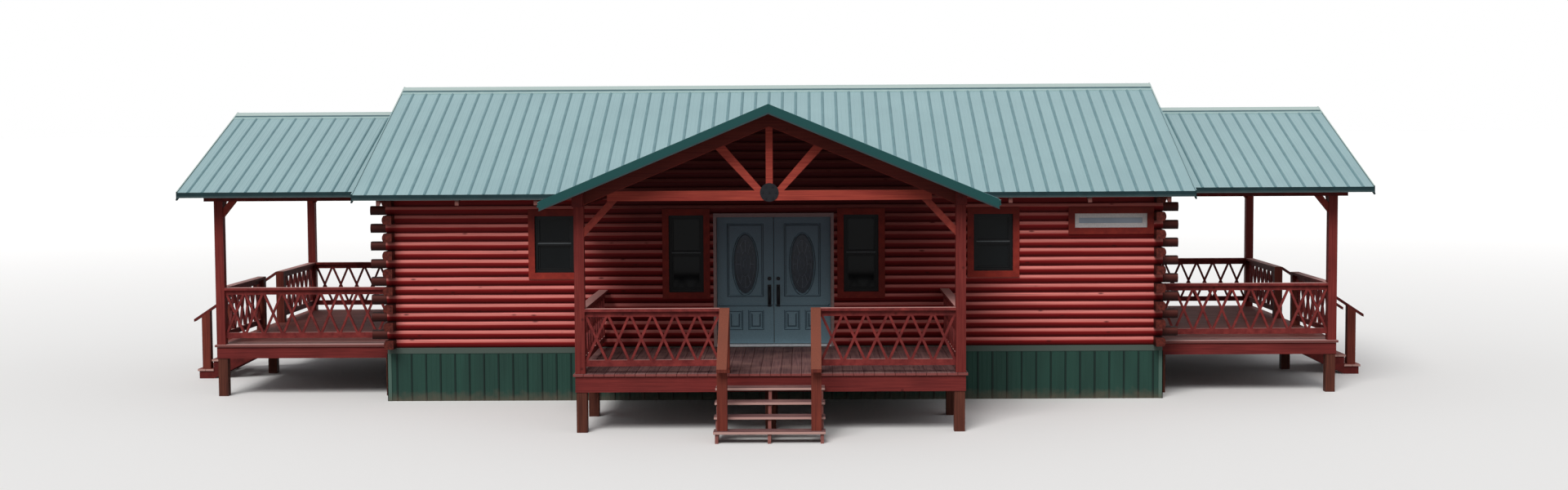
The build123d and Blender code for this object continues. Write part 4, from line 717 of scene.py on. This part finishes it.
def make_tread_boards():
    """Each tread is two boards side by side."""
    front, sides = bmesh.new(), bmesh.new()
    front_rim, side_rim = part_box("deck_frames")[0].y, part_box("deck_frames")[1].x
    half = TREAD_LENGTH / 2
    for number in range(1, RISERS):
        top = DECK_TOP - number * DECK_TOP / RISERS
        foot, near = top - BOARD_DEPTH, (number - 1) * TREAD_RUN
        far = near + TREAD_DEPTH
        boards(front, (-half, front_rim - far, foot), (half, front_rim - near, top), "X")
        for side in (-1, 1):
            x0, x1 = sorted((side * (side_rim + near), side * (side_rim + far)))
            boards(sides, (x0, RIDGE_Y - half, foot), (x1, RIDGE_Y + half, top), "Y")
    finish_piece("front_stair_tread_boards", front, "deck_boards", SIDE_BOARDS,
                 replaces=("front_stair_treads",))
    finish_piece("side_stair_tread_boards", sides, "deck_boards", FRONT_BOARDS,
                 replaces=("side_stair_treads",))


make_deck_boards()
make_tread_boards()


# ---------------- doors

LEAF_LOW, LEAF_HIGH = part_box("right_door")
OVAL_LOW, OVAL_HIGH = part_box("right_door_glass")
OVAL_CENTRE = ((OVAL_LOW.x + OVAL_HIGH.x) / 2, (OVAL_LOW.z + OVAL_HIGH.z) / 2)
OVAL_HALF = ((OVAL_HIGH.x - OVAL_LOW.x) / 2, (OVAL_HIGH.z - OVAL_LOW.z) / 2)
STILE, MULLION_HALF, TOP_RAIL = 0.155, 0.04, 0.10
# Heights above the leaf's foot
LOWER_PANEL, BELT, UPPER_PANEL = (0.21, 0.53), (0.585, 0.625), 0.735
# Width of a moulding's slopes and of its flat, and its thickness
OVAL_SECTION, UPPER_SECTION, LOWER_SECTION = (0.016, 0.008, 0.012), (0.014, 0.008, 0.011), (0.013, 0.006, 0.010)
END_DOOR_SECTION = (0.012, 0.006, 0.010)
CAME = (0.002, 0.004, 0.004)
OUTER_CAME, INNER_CAME, CENTRE_CAME = 0.80, 0.42, (0.028, 0.075)
END_DOOR_HALF, END_DOOR_STILE, END_DOOR_MULLION_HALF = 0.48, 0.13, 0.05
END_DOOR_ROWS = ((0.20, 0.75), (0.93, 1.48), (1.60, 1.92))
KNOB_RADIUS, KNOB_ACROSS, KNOB_HEIGHT = 0.027, 0.41, 0.95


def moulding(bm, centre, half, face, out, section, segments=48):
    """Moulding round an oval, or round a rectangle with mitred corners where it has four segments: it slopes
    up from a door's face, runs level and slopes back."""
    rise, flat, thick = section
    is_oval = segments != 4
    turn = Matrix.Rotation(pi / 2, 4, "X") @ Matrix.Rotation(0 if is_oval else pi / 4, 4, "Z")
    verts = bmesh.ops.create_circle(bm, segments=segments, radius=1.0 if is_oval else 2 ** 0.5,
                                    matrix=Matrix.Diagonal((half[0], 1, half[1], 1)) @ turn)["verts"]
    bm.edges.index_update()
    edges = sorted({edge for vert in verts for edge in vert.link_edges}, key=lambda edge: edge.index)
    whole = list(verts)
    grown, lifted = 0.0, 0.0
    for grow, lift in ((rise, thick), (rise + flat, thick), (rise + flat + rise, 0.0), (0.0, 0.0)):
        pulled = bmesh.ops.extrude_edge_only(bm, edges=edges)["geom"]
        verts = [item for item in pulled if isinstance(item, bmesh.types.BMVert)]
        edges = [item for item in pulled if isinstance(item, bmesh.types.BMEdge)
                 and all(vert in verts for vert in item.verts)]
        wider, taller = ((side + grow) / (side + grown) for side in half)
        bmesh.ops.scale(bm, verts=verts, vec=(wider, 1, taller))
        bmesh.ops.translate(bm, verts=verts, vec=(0, out * (lift - lifted), 0))
        grown, lifted = grow, lift
        whole += verts
    bmesh.ops.translate(bm, verts=whole, vec=(centre[0], face, centre[1]))
    bmesh.ops.remove_doubles(bm, verts=whole, dist=1e-5)


def panel_moulding(bm, x, z, face, out, section):
    """Moulding round a rectangle whose outer edges are given."""
    inset = 2 * section[0] + section[1]
    moulding(bm, ((x[0] + x[1]) / 2, (z[0] + z[1]) / 2),
             ((x[1] - x[0]) / 2 - inset, (z[1] - z[0]) / 2 - inset), face, out, section, segments=4)


def raised_field(bm, x, z, face, out, slope, thick, inset=0.0):
    """Raised middle of a door panel, its edges sloping back to the door's face."""
    width, height = x[1] - x[0] - 2 * inset, z[1] - z[0] - 2 * inset
    made = bmesh.ops.create_cube(bm, size=1.0)["verts"]
    bmesh.ops.scale(bm, verts=made, vec=(width, thick, height))
    front = [vert for vert in made if vert.co.y * out > 0]
    bmesh.ops.scale(bm, verts=front, vec=(1 - 2 * slope / width, 1, 1 - 2 * slope / height))
    bmesh.ops.translate(bm, verts=made, vec=((x[0] + x[1]) / 2, face + out * thick / 2, (z[0] + z[1]) / 2))


def turn_to_left(bm):
    bmesh.ops.scale(bm, verts=bm.verts[:], vec=(-1, 1, 1))


def shade_quirks(bm):
    """Second finish, which is painted shade, on the sides of mouldings, except those that look up."""
    bmesh.ops.recalc_face_normals(bm, faces=bm.faces[:])
    for face in bm.faces:
        face.material_index = int(abs(face.normal.y) < 0.94 and face.normal.z < 0.35)


def make_leaf_mouldings(side, body):
    """Oval and panel mouldings on both faces of one leaf, laid out on the right leaf."""
    bm = bmesh.new()
    x0, x1, foot = LEAF_LOW.x, LEAF_HIGH.x, LEAF_LOW.z
    middle = (x0 + x1) / 2
    lower, belt = ([foot + height for height in pair] for pair in (LOWER_PANEL, BELT))
    for face, out in ((LEAF_LOW.y, -1), (LEAF_HIGH.y, 1)):
        moulding(bm, OVAL_CENTRE, OVAL_HALF, face, out, OVAL_SECTION)
        panel_moulding(bm, (x0 + STILE, x1 - STILE), (foot + UPPER_PANEL, LEAF_HIGH.z - TOP_RAIL), face, out,
                       UPPER_SECTION)
        raised_field(bm, (x0 + 0.02, x1 - 0.02), belt, face, out, slope=0.013, thick=0.008)
        for x in ((x0 + STILE, middle - MULLION_HALF), (middle + MULLION_HALF, x1 - STILE)):
            panel_moulding(bm, x, lower, face, out, LOWER_SECTION)
            raised_field(bm, x, lower, face, out, slope=0.022, thick=0.009, inset=0.05)
    shade_quirks(bm)
    if side < 0:
        turn_to_left(bm)
    finish_piece(f"{body}_mouldings", bm, "door_paint", DOOR_PAINT, DOOR_SHADE, body=body)


def make_leading(side, body):
    """Lead cames on both faces of the oval glass: two ovals, a centre lozenge and bars between."""
    bm = bmesh.new()
    for face, out in ((OVAL_LOW.y, -1), (OVAL_HIGH.y, 1)):
        for share in (OUTER_CAME, INNER_CAME):
            moulding(bm, OVAL_CENTRE, [share * reach for reach in OVAL_HALF], face, out, CAME)
        moulding(bm, OVAL_CENTRE, CENTRE_CAME, face, out, CAME, segments=12)
        centre, lift = Vector((OVAL_CENTRE[0], face, OVAL_CENTRE[1])), Vector((0, out * 0.003, 0))
        for angle in (0, 35, 90, 145, 180, 215, 270, 325):
            way = Vector((sin(radians(angle)) * OVAL_HALF[0], 0, cos(radians(angle)) * OVAL_HALF[1]))
            a, b = centre + way * (INNER_CAME + 0.01), centre + way * (OUTER_CAME + 0.01)
            aside = Vector((b.z - a.z, 0, a.x - b.x)).normalized() * 0.003
            run(bm, [a - aside, a + aside, a + aside + lift, a - aside + lift], b - a)
    if side < 0:
        turn_to_left(bm)
    finish_piece(f"{body}_leading", bm, "door_glass", LEAD, body=body)


def make_threshold():
    """Aluminium cover over the sill, folded down its front."""
    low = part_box("door_head_and_sill")[0]
    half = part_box("door_jambs")[1].x - 0.049
    front, top = low.y - 0.0002, low.z + 0.037
    bm = bmesh.new()
    block(bm, (-half, low.y - 0.003, low.z), (half, front, top), soften=0.001)
    block(bm, (-half, front, top - 0.0018), (half, low.y + 0.098, top), soften=0.0005)
    finish_piece("threshold_cover", bm, "door_frame", ALUMINIUM)


def make_end_door_panels():
    """Six panels and a round knob on each end door."""
    bm, knobs = bmesh.new(), bmesh.new()
    low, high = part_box("end_doors")
    edge = END_DOOR_HALF - END_DOOR_STILE
    for row in END_DOOR_ROWS:
        z = [low.z + height for height in row]
        for x in ((-edge, -END_DOOR_MULLION_HALF), (END_DOOR_MULLION_HALF, edge)):
            panel_moulding(bm, x, z, 0.0, -1, END_DOOR_SECTION)
            raised_field(bm, x, z, 0.0, -1, slope=0.03, thick=0.008, inset=0.045)
    shade_quirks(bm)
    first = bm.verts[:] + bm.edges[:] + bm.faces[:]
    second = bmesh.ops.duplicate(bm, geom=first)["geom"]
    for side, face, panels in ((-1, low.x, first), (1, high.x, second)):
        verts = [item for item in panels if isinstance(item, bmesh.types.BMVert)]
        bmesh.ops.rotate(bm, verts=verts, cent=(0, 0, 0), matrix=Matrix.Rotation(side * pi / 2, 3, "Z"))
        bmesh.ops.translate(bm, verts=verts, vec=(face, RIDGE_Y, 0))
        # A ball on a tapered neck
        y, z = RIDGE_Y - KNOB_ACROSS, low.z + KNOB_HEIGHT
        bmesh.ops.create_uvsphere(knobs, u_segments=16, v_segments=10, radius=KNOB_RADIUS,
                                  matrix=Matrix.Translation((face + side * 0.045, y, z)))
        bmesh.ops.create_cone(knobs, cap_ends=True, segments=16, radius1=0.03, radius2=0.012, depth=0.03,
                              matrix=Matrix.Translation((face + side * 0.015, y, z))
                              @ Matrix.Rotation(side * pi / 2, 4, "Y"))
    finish_piece("end_door_panels", bm, "door_paint", DOOR_PAINT, DOOR_SHADE)
    finish_piece("end_door_knobs", knobs, "dark_metal", DARK_METAL, smooth=True)


for door_side, leaf_body in ((-1, "left_leaf"), (1, "right_leaf")):
    make_leaf_mouldings(door_side, leaf_body)
    make_leading(door_side, leaf_body)
make_threshold()
make_end_door_panels()


# ---------------- windows

SASH_FACE, SASH_BAR, SASH_DEPTH = 0.045, 0.026, 0.012
# How far behind the frame's face the upper, lower and fixed sashes are
UPPER_TRACK, LOWER_TRACK, FIXED_TRACK = 0.008, 0.022, 0.010
STRIP, STRIP_PROUD = 0.016, 0.003
DOUBLE_HUNG_FROM = 0.5


def solid_boxes(node_name):
    """Lowest and highest corner of each separate solid of a node."""
    bm = bmesh.new()
    bm.from_mesh(NODES[node_name].data)
    bmesh.ops.remove_doubles(bm, verts=bm.verts[:], dist=1e-6)
    left, found = set(bm.verts), []
    while left:
        queue, group = [left.pop()], []
        while queue:
            vert = queue.pop()
            group.append(vert.co.copy())
            for edge in vert.link_edges:
                other = edge.other_vert(vert)
                if other in left:
                    left.remove(other)
                    queue.append(other)
        found.append(tuple(Vector(pick(values) for values in zip(*group)) for pick in (min, max)))
    bm.free()
    return sorted(found, key=lambda pair: tuple(round(c, 3) for c in pair[0]))


def sash_frame(bm, low, high, depth_axis):
    """Four bars round an opening, butted at the corners."""
    across = 1 - depth_axis
    for axis, other in ((across, 2), (2, across)):
        for at in (low[axis], high[axis] - SASH_BAR):
            a, b = list(low), list(high)
            a[axis], b[axis] = at, at + SASH_BAR
            if axis == 2:
                a[other] += SASH_BAR
                b[other] -= SASH_BAR
            block(bm, a, b, soften=0.002)


def sash_space(low, high, depth_axis, outward, heights, depths):
    """Corners of a space inside a window's frame, between two heights and two depths behind its face."""
    a, b = low.copy(), high.copy()
    a[1 - depth_axis] += SASH_FACE
    b[1 - depth_axis] -= SASH_FACE
    a.z, b.z = heights
    face = (low if outward < 0 else high)[depth_axis]
    a[depth_axis], b[depth_axis] = sorted(face - outward * depth for depth in depths)
    return a, b


def make_sashes():
    """Inner frames of the sashes, the upper one in the outer track and the lower one behind it, and a strip
    on the meeting rail between them."""
    bars, strips = bmesh.new(), bmesh.new()
    for node_name in ("front_windows", "back_windows", "end_windows"):
        depth_axis = 0 if node_name == "end_windows" else 1
        for low, high in solid_boxes(node_name):
            middle = (low + high) / 2
            outward = -1 if middle[depth_axis] < (0, RIDGE_Y)[depth_axis] else 1
            space = partial(sash_space, low, high, depth_axis, outward)
            foot, head = low.z + SASH_FACE, high.z - SASH_FACE
            rail_foot, rail_head = middle.z - SASH_FACE / 2, middle.z + SASH_FACE / 2
            sashes = [((foot, head), FIXED_TRACK)]
            if high.z - low.z > DOUBLE_HUNG_FROM:
                sashes = [((foot, rail_foot), LOWER_TRACK), ((rail_head, head), UPPER_TRACK)]
                block(strips, *space((rail_head - STRIP, rail_head), (-STRIP_PROUD, 0.0)), soften=0.001)
            for heights, track in sashes:
                sash_frame(bars, *space(heights, (track, track + SASH_DEPTH)), depth_axis)
    finish_piece("window_sash_bars", bars, "window_vinyl", VINYL)
    finish_piece("meeting_rail_strips", strips, "window_vinyl", VINYL_GREY)


make_sashes()


# ---------------- bolts on the truss plates

# Share of a plate's radius, and distance from its middle
BOLT_RING, BOLT_REACH = 0.72, 0.010


def make_truss_bolts():
    """Six bolt heads in a ring and one in the middle of each plate."""
    bm = bmesh.new()
    for low, high in solid_boxes("truss_plates"):
        centre, size = (low + high) / 2, high - low
        outward, flat = Vector((0, -1, 0)), Vector((1, 0, 0))
        if size.y >= size.x:
            outward, flat = Vector((1 if centre.x > 0 else -1, 0, 0)), Vector((0, 1, 0))
        turn = outward.to_track_quat("Z", "Y").to_matrix().to_4x4()
        ring = [flat * cos(number * pi / 3) + Vector((0, 0, sin(number * pi / 3))) for number in range(6)]
        for spoke in (*ring, Vector()):
            at = centre + spoke * size.z / 2 * BOLT_RING + outward * BOLT_REACH
            bmesh.ops.create_cone(bm, cap_ends=True, segments=6, radius1=0.015, radius2=0.013, depth=0.014,
                                  matrix=Matrix.Translation(at) @ turn)
    finish_piece("truss_plate_bolts", bm, "dark_metal", DARK_METAL)


make_truss_bolts()


# ---------------- floor, light and camera

# The floor fades into the white background between these distances, by a glow of this strength
FADE_START, FADE_END, FADE_GLOW = 14.0, 60.0, 0.26
FLOOR_REACH, FLOOR_DROP = 900.0, 0.001


def backdrop_colour(add, colour, seen_colour):
    """One colour for the camera, in reflections and through glass; another for the light it gives."""
    path = add("LightPath").outputs
    seen = add("Math", path["Is Camera Ray"], path["Is Glossy Ray"], operation="MAXIMUM")
    return add("Mix", add("Math", seen, path["Is Transmission Ray"], operation="MAXIMUM"), colour, seen_colour)


def make_floor():
    bm = bmesh.new()
    bmesh.ops.create_grid(bm, x_segments=1, y_segments=1, size=FLOOR_REACH,
                          matrix=Matrix.Translation((0, 0, -FLOOR_DROP)))
    mesh = bpy.data.meshes.new("floor")
    bm.to_mesh(mesh)
    bm.free()
    material, add, shader, place = new_finish("plain_pale_floor", Roughness=0.9)
    reach = add("VectorMath", place, operation="LENGTH").outputs["Value"]
    fade = add("MapRange", reach, FADE_START, FADE_END, 0.0, FADE_GLOW)
    glow = add("Math", fade, add("LightPath").outputs["Is Camera Ray"], operation="MULTIPLY")
    feed(shader, {"Base Color": backdrop_colour(add, "807E7A", "F5F3F0"), "Emission Color": "FFFFFF",
                  "Emission Strength": glow})
    mesh.materials.append(material)
    ground = bpy.data.objects.new("floor_plane", mesh)
    bpy.context.scene.collection.objects.link(ground)


def make_light():
    """A soft high lamp from the front left, and an even pale sky."""
    scene = bpy.context.scene
    scene.world = bpy.data.worlds.new("studio")
    scene.world.use_nodes = True
    scene.world.node_tree.nodes.clear()
    add = partial(add_node, scene.world.node_tree)
    sky = backdrop_colour(add, (0.35, 0.36, 0.38, 1), "FFFFFF")
    add("OutputWorld", Surface=add("Background", Color=sky, Strength=1.0))
    lamp = bpy.data.lights.new("key", "SUN")
    lamp.energy = 2.3
    lamp.angle = radians(30)
    key = bpy.data.objects.new("key", lamp)
    key.rotation_euler = (radians(44), 0, radians(-16))
    scene.collection.objects.link(key)


def make_camera():
    """The photograph's viewpoint: 30 m in front of the front wall, 4.3 m up, looking slightly down."""
    yaw, pitch, roll = radians(-0.6567), radians(3.4817), radians(-0.3176)
    focal_px, photo_px = 2398.9, 1920
    data = bpy.data.cameras.new("camera")
    data.sensor_width = 36.0
    data.lens = focal_px / photo_px * data.sensor_width
    data.clip_end = 2000.0
    camera = bpy.data.objects.new("camera", data)
    camera.matrix_world = (Matrix.Translation((0.5147, WALL_FRONT - 30.6179, 4.3012))
                           @ Matrix.Rotation(-yaw, 4, "Z") @ Matrix.Rotation(pi / 2 - pitch, 4, "X")
                           @ Matrix.Rotation(roll, 4, "Z"))
    bpy.context.scene.collection.objects.link(camera)
    bpy.context.scene.camera = camera


make_floor()
make_light()
make_camera()
bpy.context.scene.view_settings.view_transform = "Standard"
